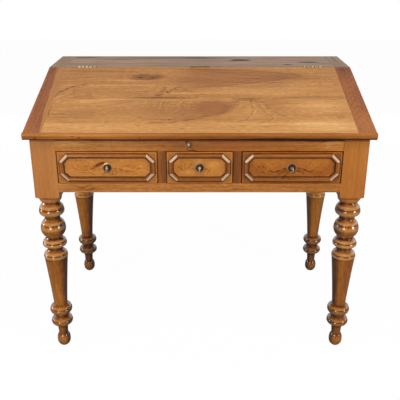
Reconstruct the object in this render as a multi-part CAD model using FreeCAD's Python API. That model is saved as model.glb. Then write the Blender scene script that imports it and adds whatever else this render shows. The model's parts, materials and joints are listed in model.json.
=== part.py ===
import FreeCAD, Part

import math
import os

Vector = FreeCAD.Vector

# All sizes are in millimetres. X runs along the front, Y from front to back, Z up from the floor.

# Case
case_width = 1000.0              # over the leg blocks
case_depth = 600.0               # over the leg blocks
leg_block = 74.0                 # side of the square leg blocks
block_drop = 22.0                # leg blocks below the rail, down to the turning
bottom_rail_height = 29.0
bottom_rail_depth = 60.0
drawer_opening_height = 102.0
top_rail_drop = 57.5             # lid's front edge to the drawers' opening
top_rail_thickness = 30.0
divider_width = 24.0
middle_opening = 201.0           # width of the middle drawer's opening
side_panel_thickness = 22.0
side_panel_recess = 4.0          # panel face behind the block face
back_panel_thickness = 20.0
back_panel_recess = 8.0
dust_board_thickness = 8.0
dust_board_lift = 3.0            # over the top rail's lower edge

# Sloped lid and flat shelf
top_height = 877.0               # shelf's upper face
front_edge_height = 759.5        # lid's upper face at its front edge
flat_depth = 222.0               # hinge line to the shelf's rear edge
board_thickness = 17.0
side_overhang = 15.0
front_overhang = 25.0
rear_overhang = 12.0
end_width = 55.0                 # breadboard ends
nosing_depth = 10.0
nosing_drop = 3.0                # nosing below the underside of the boards
nosing_round = 4.5               # its two rounded front edges
board_joint = 216.4              # lid's front edge to the joint of its two boards, along the slope
edge_round = 3.0                 # rounded outer edges of the ends and the shelf
hinge_gap = 1.0                  # between the lid and the shelf
lid_seat_gap = 0.3               # between the lid and the case it lies on

# Joinery
joint_fit = 0.1                  # clearance round tenons and tongues
tenon_length = 25.0
tenon_thickness = 12.0
tenon_shoulder = 4.0
tongue_depth = 8.0
tongue_thickness = 6.0           # in the edges of the boards
panel_tongue = 12.0              # thickness of the panels' tongues
stub_length = 8.0                # dividers and runners

# Turned leg: collar under the block, beads, tapered shaft, beads, ball foot
pommel_height = 4.5              # where the square block turns into the round collar
collar_radius = 35.0
collar_height = 7.0
ovolo_height = 13.0
collar_under = 27.6              # radius where the collar's round part ends
neck_radius = 25.2
shoulder_radius = 37.8           # top of the tapered shaft
shoulder_height = 26.0
shoulder_fall = 1.0              # from the shoulder to the start of the taper
shaft_end_radius = 21.4
shaft_hollow = 0.8               # how far the taper is drawn in at its middle
arc_fullness = 0.75              # how round the ovolo is
ankle_height = 32.0              # neck over the foot
ankle_radius = 14.8
foot_height = 45.0
foot_swell = 21.8
foot_step = 1.6                  # foot's upper edge beyond the ankle
foot_radius = 12.0               # flat under the foot
# Outlines from the top down: share of the height, share of the swell over the necks.
# The first part is a flare that ends in a ring, the second is the bead under it.
bead_curve = [
    [(0.10, 0.12), (0.22, 0.40), (0.32, 0.69), (0.40, 0.84), (0.45, 0.83)],
    [(0.54, 0.95), (0.68, 1.0), (0.82, 0.86), (0.93, 0.46)],
]
ball_curve = [
    [(0.06, 0.14), (0.13, 0.40), (0.19, 0.63), (0.24, 0.75), (0.27, 0.76)],
    [(0.36, 0.90), (0.52, 1.0), (0.67, 0.90), (0.81, 0.61), (0.92, 0.25)],
]
low_bead_curve = [
    [(0.06, 0.26), (0.15, 0.60), (0.25, 0.86), (0.31, 0.87)],
    [(0.38, 0.97), (0.48, 1.0), (0.66, 0.88), (0.84, 0.47)],
]
shoulder_curve = [
    [(0.12, 0.14), (0.28, 0.47), (0.42, 0.77), (0.51, 0.87), (0.56, 0.86)],
    [(0.65, 0.96), (0.79, 1.0), (0.92, 0.98)],
]
foot_curve = [[(0.12, 0.52), (0.27, 0.86), (0.47, 1.0), (0.70, 0.90), (0.88, 0.52)]]
# Beads from the top down: height, greatest radius, radius and height of the neck under it, outline
upper_beads = [
    (48.0, 39.2, 24.0, 10.0, bead_curve),
    (64.0, 39.2, 24.6, 0.0, ball_curve),
    (34.0, 38.0, 23.8, 10.0, bead_curve),
]
lower_beads = [
    (39.0, 36.0, 22.6, 8.0, low_bead_curve),
    (36.0, 35.0, 17.0, 0.0, low_bead_curve),
]

# Drawers
drawer_side_gap = 1.5            # beside a drawer's front
drawer_top_gap = 1.2
running_gap = 0.3                # drawer over its runners, and before its stops
drawer_length = 480.0
front_thickness = 22.0
drawer_side_thickness = 12.0
drawer_back_thickness = 10.0
drawer_bottom_thickness = 6.0
drawer_bottom_lift = 8.0         # bottom board over the lower edge of the sides
drawer_bottom_tongue = 5.0
drawer_side_drop = 4.0           # sides below the top of the opening
dovetail_length = 15.0           # half-blind tails in the drawer's front
dovetail_count = 3
dovetail_slope = 6.0             # one in six
runner_thickness = 16.0
runner_ledge = 20.0              # what a drawer's side slides on
guide_height = 30.0
stop_size = (24.0, 14.0, 6.0)    # width, depth and height of a drawer stop

# Moulding on the drawer fronts
moulding_inset = 5.5
moulding_width = 15.5
moulding_height = 7.0
moulding_corner = 24.0           # corner cut off at 45 degrees
moulding_fillet = 2.0            # flat step on the outer side
moulding_step = 3.5              # height of the outer step
moulding_lip = 2.0               # height and width of the inner step

# Hinges
hinge_length = 65.0
hinge_inset = 129.0              # end of the lid to the middle of an outer hinge
leaf_thickness = 1.6
leaf_height = 14.0
leaf_gap = 0.5                   # between the two leaves
knuckle_radius = 3.2
knuckle_count = 5
knuckle_gap = 0.3
pin_radius = 1.5
pin_clearance = 0.06
hinge_axis_rise = 0.6            # pin over the shelf's upper face
screw_head_radius = 3.0
screw_radius = 1.4
screw_length = 14.0
screw_spread = 23.0
screw_drop = 9.0                 # screws under the pin

# Drawer locks and keys
escutcheon_radius = 15.0
escutcheon_height = 3.0
escutcheon_rim = 1.6
lock_width = 56.0
lock_depth = 11.0                # mortise in the back of the drawer's front
lock_plate = 1.5
lock_drop = 22.0                 # lock's lower edge under the keyhole
bolt_throw = 8.0
bolt_thickness = 3.0
bolt_frame = 4.0                 # metal round a drawer bolt's window
bolt_head_width = 18.0
lock_clearance = 0.5             # round the bolt and the key's bit
keyhole_margin = 2.0             # round the key's stem
key_stem_radius = 3.0
key_bit_reach = 9.0
key_bit_thickness = 2.5
drill_pin_radius = 1.4
key_bore_clearance = 0.1         # round the pin that the hollow key turns on
key_bore_depth = 9.0
key_bow_radius = 8.5
key_bow_hole = 5.0
key_bow_thickness = 3.6
key_reach = 26.0                 # bow's front before the desk's front
key_collar_radius = 4.2
key_collar_length = 2.5

# Lid lock and key
lid_key_offset = -31.5           # from the middle of the front
lid_key_height = 21.0            # over the drawers' opening
lid_key_stem_radius = 2.5
lid_key_bit_reach = 6.0
lid_key_bit_thickness = 2.0
lid_bolt_gap = 3.0               # between the bolt and the lock's cap
lid_bolt_lift = 19.0             # bolt's tongue over the key
lid_bolt_frame = 2.0             # metal round the lid bolt's window
lid_tongue_height = 4.0
staple_thickness = 3.0
staple_width = 9.0
staple_eye = 5.4
staple_swing = 2.5               # room before the staple as it lifts
strike_plate_size = (26.0, 18.0, 1.5)
liner_wall = 1.4
liner_depth = 2.5

# Strings on two keys: diameter, and points from the key's axis and the desk's front
cord_diameter = 1.6
cord_fullness = 0.45             # share of the shorter run that an arc takes
lid_cord_points = [
    (15.6, -13.0, -17.6), (12.3, -14.5, -12.4), (8.6, -16.0, -7.4), (3.6, -17.5, -3.9),
    (-3.4, -17.5, -3.9), (-6.6, -17.8, -8.4), (-2.6, -18.2, -12.6), (5.6, -18.6, -13.3),
    (13.5, -18.0, -13.6), (21.5, -16.0, -15.2), (29.0, -14.0, -17.6),
]
drawer_cord_points = [
    (-26.5, -14.0, -30.0), (-21.3, -15.3, -20.6), (-15.5, -16.0, -11.0), (-9.0, -17.0, -5.7),
    (-3.5, -17.5, -3.9), (3.5, -17.5, -3.9), (6.5, -18.0, -8.5), (2.5, -18.5, -12.7),
    (-6.0, -19.0, -13.2), (-14.5, -19.4, -10.5), (-21.5, -18.5, -16.5), (-27.5, -17.0, -23.0),
    (-32.5, -16.0, -29.5),
]

# Places worked out from the sizes above
half_width = case_width / 2
inner = half_width - leg_block
front = (key_reach - case_depth - rear_overhang) / 2     # puts the origin under the middle of the desk
rear = front + case_depth
opening_top = front_edge_height - top_rail_drop
opening_bottom = opening_top - drawer_opening_height
apron_bottom = opening_bottom - bottom_rail_height       # lower edge of the rail and the panels
block_bottom = apron_bottom - block_drop                 # where the turning begins
lid_half = half_width + side_overhang
board_half = lid_half - end_width
lid_front = front - front_overhang
hinge_y = rear + rear_overhang - flat_depth
hinge_z = top_height + hinge_axis_rise
lid_run = hinge_y - lid_front
lid_slope = math.atan2(top_height - front_edge_height, lid_run)
lid_length = math.hypot(top_height - front_edge_height, lid_run)
shelf_bottom = top_height - board_thickness
panel_outer = half_width - side_panel_recess
panel_inner = panel_outer - side_panel_thickness
back_face = rear - back_panel_recess - back_panel_thickness
front_leg_back = front + leg_block
rear_leg_front = rear - leg_block
dust_bottom = opening_top + dust_board_lift
dust_top = dust_bottom + dust_board_thickness
far = 300.0                      # past everything, for tools that cut right through


def block(x_span, y_span, z_span):
    size = [span[1] - span[0] for span in (x_span, y_span, z_span)]
    return Part.makeBox(size[0], size[1], size[2], Vector(x_span[0], y_span[0], z_span[0]))


def grown(span, by):
    return (span[0] - by, span[1] + by)


def about(middle, width):
    return (middle - width / 2, middle + width / 2)


def rod_along_y(x, z, radius, y_span):
    return Part.makeCylinder(radius, y_span[1] - y_span[0], Vector(x, y_span[0], z), Vector(0, 1, 0))


def rod_along_x(y, z, radius, x_span):
    return Part.makeCylinder(radius, x_span[1] - x_span[0], Vector(x_span[0], y, z), Vector(1, 0, 0))


def prism(points, along):
    outline = Part.makePolygon(points + points[:1])
    return Part.Face(outline).extrude(along)


def joined(shapes):
    return shapes[0].fuse(shapes[1:]).removeSplitter()


def mirrored(shape):
    return shape.mirror(Vector(0, 0, 0), Vector(1, 0, 0))


def both_sides(shape):
    return [shape, mirrored(shape)]


def write(name, shapes):
    solids = [solid for shape in shapes for solid in shape.Solids]
    whole = solids[0] if len(solids) == 1 else Part.makeCompound(solids)
    whole.exportStep(os.path.join("parts", name + ".step"))


# Where the lid lies

def lid_top_at(y):
    return front_edge_height + (y - lid_front) * math.tan(lid_slope)


def seat_at(y):
    return lid_top_at(y) - (board_thickness + lid_seat_gap) / math.cos(lid_slope)


def space_over_case():
    # Everything over the case: the sloped lid's seat in front of the hinges, the shelf behind them
    corners = [
        (front - far, seat_at(front - far)),
        (hinge_y, seat_at(hinge_y)),
        (hinge_y, shelf_bottom),
        (rear + far, shelf_bottom),
        (rear + far, top_height + far),
        (front - far, top_height + far),
    ]
    points = [Vector(-lid_half - far, y, z) for y, z in corners]
    return prism(points, Vector(2 * (lid_half + far), 0, 0))


def on_lid(shape):
    # From the lid's own flat frame (front edge at Y 0, upper face at Z 0) to its place on the desk
    placed = shape.copy()
    placed.rotate(Vector(0, 0, 0), Vector(1, 0, 0), math.degrees(lid_slope))
    placed.translate(Vector(0, lid_front, front_edge_height))
    return placed


def lid_frame(y, z):
    # The same the other way: a point's place along and over the lid
    run = y - lid_front
    rise = z - front_edge_height
    along = run * math.cos(lid_slope) + rise * math.sin(lid_slope)
    over = rise * math.cos(lid_slope) - run * math.sin(lid_slope)
    return along, over


over_case = space_over_case()


# Joints that two pieces share

tenon_y = about(front + top_rail_thickness / 2, tenon_thickness)
top_tenon_z = (opening_top + tenon_shoulder, seat_at(front) - tenon_shoulder)
bottom_tenon_z = (apron_bottom + tenon_shoulder, opening_bottom - tenon_shoulder)
panel_tongue_x = about((panel_inner + panel_outer) / 2, panel_tongue)
back_tongue_y = about(back_face + back_panel_thickness / 2, panel_tongue)
panel_z = (apron_bottom, top_height)


def rail_tenon(z_span, fit):
    return block((inner, inner + tenon_length + fit), grown(tenon_y, fit), grown(z_span, fit))


def side_tongues(fit):
    reach = (front_leg_back - tongue_depth - fit, rear_leg_front + tongue_depth + fit)
    return block(grown(panel_tongue_x, fit), reach, grown(panel_z, fit))


def back_tongue(fit):
    return block((inner, inner + tongue_depth + fit), grown(back_tongue_y, fit), grown(panel_z, fit))


# Legs

def arc(start, middle, end):
    return Part.Arc(start, middle, end).toShape()


def line(start, end):
    return Part.LineSegment(start, end).toShape()


def rounded(start, end, full_radius):
    # A quarter round between two radii, bulging towards the greater one
    least = start.x + end.x - full_radius
    middle = Vector(least + (full_radius - least) * arc_fullness, 0, (start.z + end.z) / 2)
    return arc(start, middle, end)


def swelling(top, radius, bottom, parts):
    # Outline that swells to a radius between the points over and under it, each part a smooth curve
    swells = [swell for part in parts for down, swell in part]
    nose = swells.index(max(swells))
    edges = []
    points = [top]
    passed = 0
    for part in parts:
        for down, swell in part:
            neck = top.x if passed <= nose else bottom.x
            points.append(Vector(neck + (radius - neck) * swell, 0, top.z + (bottom.z - top.z) * down))
            passed += 1
        if passed == len(swells):
            points.append(bottom)
        outline = Part.BSplineCurve()
        outline.interpolate(points)
        edges.append(outline.toShape())
        points = [points[-1]]
    return edges


def turned_beads(point, beads):
    # Outlines of a row of beads with their necks, from a point downwards, and the point under them
    edges = []
    for height, radius, under_radius, neck_height, curve in beads:
        end = Vector(under_radius, 0, point.z - height)
        edges += swelling(point, radius, end, curve)
        point = end - Vector(0, 0, neck_height)
        if neck_height:
            edges.append(line(end, point))
    return edges, point


def turned_shape():
    # Half outline of the turning, from the block down to the floor
    start = Vector(0, 0, block_bottom)
    collar_top = Vector(collar_radius, 0, block_bottom)
    collar_end = collar_top - Vector(0, 0, collar_height)
    collar_foot = Vector(collar_under, 0, collar_end.z - ovolo_height)
    neck = Vector(neck_radius, 0, collar_foot.z)
    edges = [line(start, collar_top), line(collar_top, collar_end)]
    edges += [rounded(collar_end, collar_foot, collar_radius), line(collar_foot, neck)]
    beads, point = turned_beads(neck, upper_beads)
    edges += beads
    shaft_top = Vector(shoulder_radius - shoulder_fall, 0, point.z - shoulder_height)
    edges += swelling(point, shoulder_radius, shaft_top, shoulder_curve)

    lower_height = sum(row[0] + row[3] for row in lower_beads) + ankle_height + foot_height
    shaft_end = Vector(shaft_end_radius, 0, lower_height)
    middle = (shaft_top + shaft_end) * 0.5 - Vector(shaft_hollow, 0, 0)
    edges.append(arc(shaft_top, middle, shaft_end))
    beads, point = turned_beads(shaft_end, lower_beads)
    edges += beads
    ankle = Vector(ankle_radius, 0, foot_height)
    foot_top = ankle + Vector(foot_step, 0, 0)
    foot_end = Vector(foot_radius, 0, 0)
    edges += [line(point, ankle), line(ankle, foot_top)]
    edges += swelling(foot_top, foot_swell, foot_end, foot_curve)
    edges += [line(foot_end, Vector(0, 0, 0)), line(Vector(0, 0, 0), start)]
    outline = Part.Face(Part.Wire(edges))
    return outline.revolve(Vector(0, 0, 0), Vector(0, 0, 1), 360)


def pommel():
    # Round tool that leaves the lower corners of the square block rounded
    top = top_height + far
    corner = Vector(leg_block / math.sqrt(2), 0, block_bottom + pommel_height)
    start = Vector(collar_radius, 0, block_bottom)
    outside = Vector(leg_block, 0, corner.z)
    edges = [
        line(Vector(0, 0, block_bottom), start),
        rounded(start, corner, corner.x),
        line(corner, outside),
        line(outside, Vector(leg_block, 0, top)),
        line(Vector(leg_block, 0, top), Vector(0, 0, top)),
        line(Vector(0, 0, top), Vector(0, 0, block_bottom)),
    ]
    outline = Part.Face(Part.Wire(edges))
    return outline.revolve(Vector(0, 0, 0), Vector(0, 0, 1), 360)


def whole_leg():
    span = about(0, leg_block)
    square = block(span, span, (block_bottom, top_height))
    return joined([square.common(pommel()), turned_shape()])


def make_legs():
    leg = whole_leg()
    x = half_width - leg_block / 2
    front_leg = leg.translated(Vector(x, front + leg_block / 2, 0))
    front_leg = front_leg.cut([
        over_case,
        rail_tenon(top_tenon_z, joint_fit),
        rail_tenon(bottom_tenon_z, joint_fit),
        side_tongues(joint_fit),
    ])
    rear_leg = leg.translated(Vector(x, rear - leg_block / 2, 0))
    rear_leg = rear_leg.cut([over_case, side_tongues(joint_fit), back_tongue(joint_fit)])
    write("leg_front_right", [front_leg])
    write("leg_front_left", [mirrored(front_leg)])
    write("leg_rear_right", [rear_leg])
    write("leg_rear_left", [mirrored(rear_leg)])


# Rails, dividers, panels and the compartment's floor

divider_x = (middle_opening / 2, middle_opening / 2 + divider_width)
divider_stub_x = about(middle_opening / 2 + divider_width / 2, divider_width / 2)
drawers = {
    "left": (-inner, -divider_x[1]),
    "middle": (-divider_x[0], divider_x[0]),
    "right": (divider_x[1], inner),
}
runner_z = (opening_bottom - runner_thickness, opening_bottom)
middle_runner_x = grown(divider_x, runner_ledge)
side_runner_x = (inner - runner_ledge, panel_inner)
runner_stub_z = about(opening_bottom - runner_thickness / 2, runner_thickness / 2)
rail_back = front + bottom_rail_depth


def divider_stubs(fit):
    y_span = grown(tenon_y, fit)
    z_span = (opening_bottom - stub_length - fit, opening_top + stub_length + fit)
    return block(grown(divider_stub_x, fit), y_span, z_span)


def runner_stubs(fit):
    y_span = (rail_back - stub_length - fit, back_face + stub_length + fit)
    z_span = grown(runner_stub_z, fit)
    middle_one = block(grown(about(sum(divider_x) / 2, divider_width), fit), y_span, z_span)
    side_x = about(inner - runner_ledge / 2, runner_ledge / 2)
    side_one = block(grown(side_x, fit), y_span, z_span)
    return [middle_one, side_one]


def dust_tongues(fit):
    z_span = grown((dust_bottom, dust_top), fit)
    long_x = (-inner + tenon_shoulder - fit, inner - tenon_shoulder + fit)
    y_span = (front + top_rail_thickness - tongue_depth - fit, back_face + tongue_depth + fit)
    side_x = panel_inner + tongue_depth + fit
    side_y = (front_leg_back + tenon_shoulder - fit, rear_leg_front - tenon_shoulder + fit)
    return [block(long_x, y_span, z_span), block((-side_x, side_x), side_y, z_span)]


def make_top_rail(lock_spaces, bolt_spaces):
    y_span = (front, front + top_rail_thickness)
    rail = block((-inner, inner), y_span, (opening_top, top_height)).cut(over_case)
    tenon = rail_tenon(top_tenon_z, 0)
    rail = joined([rail] + both_sides(tenon))
    cuts = dust_tongues(joint_fit) + both_sides(divider_stubs(joint_fit))
    write("front_top_rail", [rail.cut(cuts + lock_spaces + bolt_spaces)])


def make_bottom_rail():
    rail = block((-inner, inner), (front, rail_back), (apron_bottom, opening_bottom))
    tenon = rail_tenon(bottom_tenon_z, 0)
    rail = joined([rail] + both_sides(tenon))
    cuts = both_sides(divider_stubs(joint_fit))
    for stub in runner_stubs(joint_fit):
        cuts += both_sides(stub)
    write("front_bottom_rail", [rail.cut(cuts)])


def make_dividers():
    y_span = (front, front + top_rail_thickness)
    body = block(divider_x, y_span, (opening_bottom, opening_top))
    divider = joined([body, divider_stubs(0)])
    write("drawer_divider_right", [divider])
    write("drawer_divider_left", [mirrored(divider)])


def make_panels():
    face = block((panel_inner, panel_outer), (front_leg_back, rear_leg_front), panel_z)
    side = joined([face, side_tongues(0)]).cut([over_case] + dust_tongues(joint_fit))
    write("side_panel_right", [side])
    write("side_panel_left", [mirrored(side)])

    face = block((-inner, inner), (back_face, back_face + back_panel_thickness), panel_z)
    cuts = [over_case] + dust_tongues(joint_fit)
    for stub in runner_stubs(joint_fit):
        cuts += both_sides(stub)
    write("back_panel", [joined([face] + both_sides(back_tongue(0))).cut(cuts)])


def make_dust_board(lock_spaces):
    y_span = (front + top_rail_thickness, back_face)
    floor = block((-panel_inner, panel_inner), y_span, (dust_bottom, dust_top))
    floor = joined([floor] + dust_tongues(0))
    corners = []
    for leg_y in ((front, front_leg_back), (rear_leg_front, rear)):
        corner = block((inner, half_width), leg_y, (dust_bottom, dust_top))
        corners += both_sides(corner)
    write("dust_board", [floor.cut(corners + lock_spaces)])


def make_runners():
    # Runners, the guides on them and the stops behind the drawers' fronts
    stubs = runner_stubs(0)
    middle_runner = joined([block(middle_runner_x, (rail_back, back_face), runner_z), stubs[0]])
    ledge = block((side_runner_x[0], inner), (rail_back, back_face), runner_z)
    filler = block((inner, panel_inner), (front_leg_back, rear_leg_front), runner_z)
    side_runner = joined([ledge, filler, stubs[1]])
    guide_z = (opening_bottom, opening_bottom + guide_height)
    middle_guide = block(divider_x, (front + top_rail_thickness, back_face), guide_z)
    side_guide = block((inner, panel_inner), (front_leg_back, rear_leg_front), guide_z)
    shapes = []
    for piece in (middle_runner, side_runner, middle_guide, side_guide):
        shapes += both_sides(piece)
    width, depth, height = stop_size
    stop_y = front + front_thickness + running_gap
    for low, high in drawers.values():
        for middle in (low + (high - low) / 4, high - (high - low) / 4):
            stop_z = (opening_bottom, opening_bottom + height)
            shapes.append(block(about(middle, width), (stop_y, stop_y + depth), stop_z))
    write("drawer_runners", shapes)


# Hinges

hinge_places = [-(lid_half - hinge_inset), 0.0, lid_half - hinge_inset]
knuckle_length = hinge_length / knuckle_count
leaf_z = (hinge_z - leaf_height, hinge_z)
leaf_y = (hinge_y + leaf_gap / 2, hinge_y + leaf_gap / 2 + leaf_thickness)


def knuckle_span(x, index):
    low = x - hinge_length / 2 + index * knuckle_length
    return (low, low + knuckle_length)


def knuckles(x, first, radius, trim):
    # Every second knuckle, beginning with the first one given
    spans = [knuckle_span(x, index) for index in range(first, knuckle_count, 2)]
    return [rod_along_x(hinge_y, hinge_z, radius, grown(span, -trim)) for span in spans]


def screw_places(x):
    return [x - screw_spread, x, x + screw_spread]


def screw(x):
    # Countersunk screw, its head flush with the leaf, in the shelf's side of the hinge
    z = hinge_z - screw_drop
    start = Vector(x, leaf_y[0], z)
    head = Part.makeCone(screw_head_radius, screw_radius, leaf_thickness, start, Vector(0, 1, 0))
    return joined([head, rod_along_y(x, z, screw_radius, (leaf_y[1], leaf_y[0] + screw_length))])


def leaf(x, first, bore):
    # One leaf on the shelf's side, with every second knuckle
    plate = block(about(x, hinge_length), leaf_y, leaf_z)
    other = 1 - first
    plate = plate.cut(knuckles(x, other, knuckle_radius + knuckle_gap, -knuckle_gap))
    trim = knuckle_gap if first else 0
    body = joined([plate] + knuckles(x, first, knuckle_radius, trim))
    pin_space = rod_along_x(hinge_y, hinge_z, bore, about(x, 2 * hinge_length))
    return body.cut([pin_space] + [screw(place) for place in screw_places(x)])


def hinge_recess(x):
    # What is let into a board's edge for a leaf, its knuckles and its screws
    seat = block(about(x, hinge_length), (hinge_y, leaf_y[1]), (leaf_z[0], hinge_z))
    length = hinge_length + 2 * knuckle_gap
    room = rod_along_x(hinge_y, hinge_z, knuckle_radius + knuckle_gap, about(x, length))
    return [seat, room] + [screw(place) for place in screw_places(x)]


def to_lid_side(shape):
    return shape.mirror(Vector(0, hinge_y, 0), Vector(0, 1, 0))


def make_hinges():
    write("hinge_top_leaves", [leaf(x, 0, pin_radius) for x in hinge_places])
    write("hinge_lid_leaves", [to_lid_side(leaf(x, 1, pin_radius + pin_clearance)) for x in hinge_places])
    pins = [rod_along_x(hinge_y, hinge_z, pin_radius, about(x, hinge_length)) for x in hinge_places]
    write("hinge_pins", pins)
    screws = [screw(place) for x in hinge_places for place in screw_places(x)]
    write("hinge_top_screws", screws)
    write("hinge_lid_screws", [to_lid_side(one) for one in screws])


# Flat shelf and lid

def end_tongue(y_span, middle_z, fit):
    x_span = (board_half, board_half + tongue_depth + fit)
    return block(x_span, y_span, grown(about(middle_z, tongue_thickness), fit))


def rounded_edges(shape, radius, wanted):
    return shape.makeFillet(radius, [edge for edge in shape.Edges if wanted(edge.BoundBox)])


def long_rear_edge(box):
    return box.YMin > rear + rear_overhang - joint_fit and box.XLength > tongue_depth


def long_outer_edge(box):
    return box.XMin > lid_half - joint_fit and box.YLength > end_width


def make_shelf():
    y_span = (hinge_y + hinge_gap / 2, rear + rear_overhang)
    z_span = (shelf_bottom, top_height)
    middle_z = top_height - board_thickness / 2
    board = block((-board_half, board_half), y_span, z_span)
    board = rounded_edges(board, edge_round, long_rear_edge)
    tongue_y = (y_span[0] + end_width, y_span[1] - end_width)
    board = joined([board] + both_sides(end_tongue(tongue_y, middle_z, 0)))
    recesses = [tool for x in hinge_places for tool in hinge_recess(x)]
    write("top_board", [board.cut(recesses)])

    end = block((board_half, lid_half), y_span, z_span)
    end = rounded_edges(end, edge_round, long_rear_edge)
    end = rounded_edges(end, edge_round, long_outer_edge)
    end = end.cut(end_tongue(grown(tongue_y, joint_fit), middle_z, joint_fit))
    write("top_end_right", [end])
    write("top_end_left", [mirrored(end)])


def make_lid():
    # In the lid's own frame: Y along the slope from the front edge, Z 0 at the upper face
    z_span = (-board_thickness, 0)
    middle_z = -board_thickness / 2
    long_enough = lid_length + board_thickness
    whole_x = (-far - lid_half, far + lid_half)
    behind = block(whole_x, (hinge_y - hinge_gap / 2, rear + far), (0, top_height + far))
    recesses = [to_lid_side(tool) for x in hinge_places for tool in hinge_recess(x)]
    lower_y = (nosing_depth, board_joint)
    upper_y = (board_joint, long_enough)

    lower = block((-board_half, board_half), lower_y, z_span)
    spline = block((-board_half, board_half), (board_joint, board_joint + tongue_depth),
                   about(middle_z, tongue_thickness))
    lower_tongue = end_tongue((lower_y[0] + end_width, lower_y[1]), middle_z, 0)
    lower = joined([lower, spline] + both_sides(lower_tongue))

    upper = block((-board_half, board_half), upper_y, z_span)
    groove = block((-lid_half, lid_half), (board_joint, board_joint + tongue_depth + joint_fit),
                   grown(about(middle_z, tongue_thickness), joint_fit))
    upper_tongue_y = (board_joint + tongue_depth + joint_fit, lid_length - end_width)
    upper = joined([upper.cut(groove)] + both_sides(end_tongue(upper_tongue_y, middle_z, 0)))

    end = block((board_half, lid_half), (nosing_depth, long_enough), z_span)
    end = rounded_edges(end, edge_round, long_outer_edge)
    groove_y = (lower_y[0] + end_width - joint_fit, lid_length - end_width + joint_fit)
    end = end.cut(end_tongue(groove_y, middle_z, joint_fit))

    low = -board_thickness - nosing_drop
    cut_in = nosing_round * (1 - math.sqrt(0.5))
    top_start = Vector(-lid_half, nosing_depth, 0)
    round_top = Vector(-lid_half, nosing_round, 0)
    face_top = Vector(-lid_half, 0, -nosing_round)
    face_low = Vector(-lid_half, 0, low + nosing_round)
    round_low = Vector(-lid_half, nosing_round, low)
    low_start = Vector(-lid_half, nosing_depth, low)
    edges = [
        line(top_start, round_top),
        arc(round_top, Vector(-lid_half, cut_in, -cut_in), face_top),
        line(face_top, face_low),
        arc(face_low, Vector(-lid_half, cut_in, low + cut_in), round_low),
        line(round_low, low_start),
        line(low_start, top_start),
    ]
    nosing = Part.Face(Part.Wire(edges)).extrude(Vector(2 * lid_half, 0, 0))

    write("lid_board_lower", [on_lid(lower.cut(strike_plate_seat()))])
    write("lid_board_upper", [on_lid(upper).cut([behind] + recesses)])
    write("lid_end_right", [on_lid(end).cut(behind)])
    write("lid_end_left", [mirrored(on_lid(end).cut(behind))])
    write("lid_front_nosing", [on_lid(nosing)])
    write("lid_strike_plate", [on_lid(strike_plate())])


# Locks and keys

def keyhole(x, z, y_span, head_radius, slot_width, slot_reach):
    slot = block(about(x, slot_width), y_span, (z - slot_reach, z))
    return joined([rod_along_y(x, z, head_radius, y_span), slot])


def rim_edge(box):
    return box.XLength < joint_fit


def key(x, z, tip_y, bit_y, stem_radius, bit_reach, bit_thickness):
    # Hollow key with its bit down and its bow upright, seen edge on from the front
    bow_y = front - key_reach + key_bow_radius
    stem = rod_along_y(x, z, stem_radius, (bow_y + key_bow_hole + bit_thickness / 2, tip_y))
    bit = block(about(x, bit_thickness), bit_y, (z - bit_reach, z))
    bow = rod_along_x(bow_y, z, key_bow_radius, about(x, key_bow_thickness))
    bow = rounded_edges(bow, key_bow_thickness / 3, rim_edge)
    bow = bow.cut(rod_along_x(bow_y, z, key_bow_hole, about(x, 2 * key_bow_thickness)))
    collar_y = (bow_y + key_bow_radius, bow_y + key_bow_radius + key_collar_length)
    collar = rod_along_y(x, z, key_collar_radius, collar_y)
    bore = rod_along_y(x, z, drill_pin_radius + key_bore_clearance, (tip_y - key_bore_depth, tip_y))
    return joined([stem, bit, bow, collar]).cut(bore)


# Half a turn of the key throws a bolt: the window in the bolt stays clear of the bit and the stem

key_turns = [math.pi * step / 36 for step in range(37)]


def window_room(reach, thickness, stem, ahead):
    # Room beside the axis for a bolt that slides sideways, ahead of the key or behind it
    room = 0.0
    for turn in key_turns:
        travel = bolt_throw * turn / math.pi
        side = reach * math.sin(turn) + thickness / 2 * abs(math.cos(turn))
        room = max(room, max(side, stem) - travel if ahead else stem + travel)
    return room + lock_clearance


def rising_window():
    # Under and over the axis, for a bolt that rises while the bit swings from below to above
    under = 0.0
    over = 0.0
    for turn in key_turns:
        travel = bolt_throw * turn / math.pi
        down = key_bit_reach * math.cos(turn) + key_bit_thickness / 2 * math.sin(turn)
        up = key_bit_thickness * math.sin(turn) - down
        under = max(under, max(down, key_stem_radius) + travel)
        over = max(over, max(up, key_stem_radius) - travel)
    return under + lock_clearance, over + lock_clearance


# Drawer locks: the bolt is a plate with a window that the key's bit turns in

drawer_front_z = (opening_bottom + running_gap, opening_top - drawer_top_gap)
drawer_key_z = sum(drawer_front_z) / 2
drawer_front_back = front + front_thickness
lock_front = drawer_front_back - lock_depth
plate_front = drawer_front_back - lock_plate
bolt_y = about((lock_front + plate_front) / 2, bolt_thickness)
bit_y = grown(bolt_y, lock_clearance)
key_tip = plate_front - lock_clearance
lock_z = (drawer_key_z - lock_drop, drawer_front_z[1])
bolt_head_top = drawer_front_z[1] - lock_clearance


def drawer_keyhole(x, y_span):
    slot_width = key_bit_thickness + 2 * lock_clearance
    return keyhole(x, drawer_key_z, y_span, key_stem_radius + keyhole_margin, slot_width,
                   key_bit_reach + lock_clearance)


def drawer_bolt(x):
    half_window = key_bit_reach + lock_clearance
    under, over = rising_window()
    low = drawer_key_z - under
    high = drawer_key_z + over
    window = block(about(x, 2 * half_window), bolt_y, (low, high))
    frame_x = about(x, 2 * (half_window + bolt_frame))
    plate = block(frame_x, bolt_y, (low - bolt_frame, high + bolt_frame))
    head = block(about(x, bolt_head_width), bolt_y, (high + bolt_frame / 2, bolt_head_top))
    return joined([plate, head]).cut(window)


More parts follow.
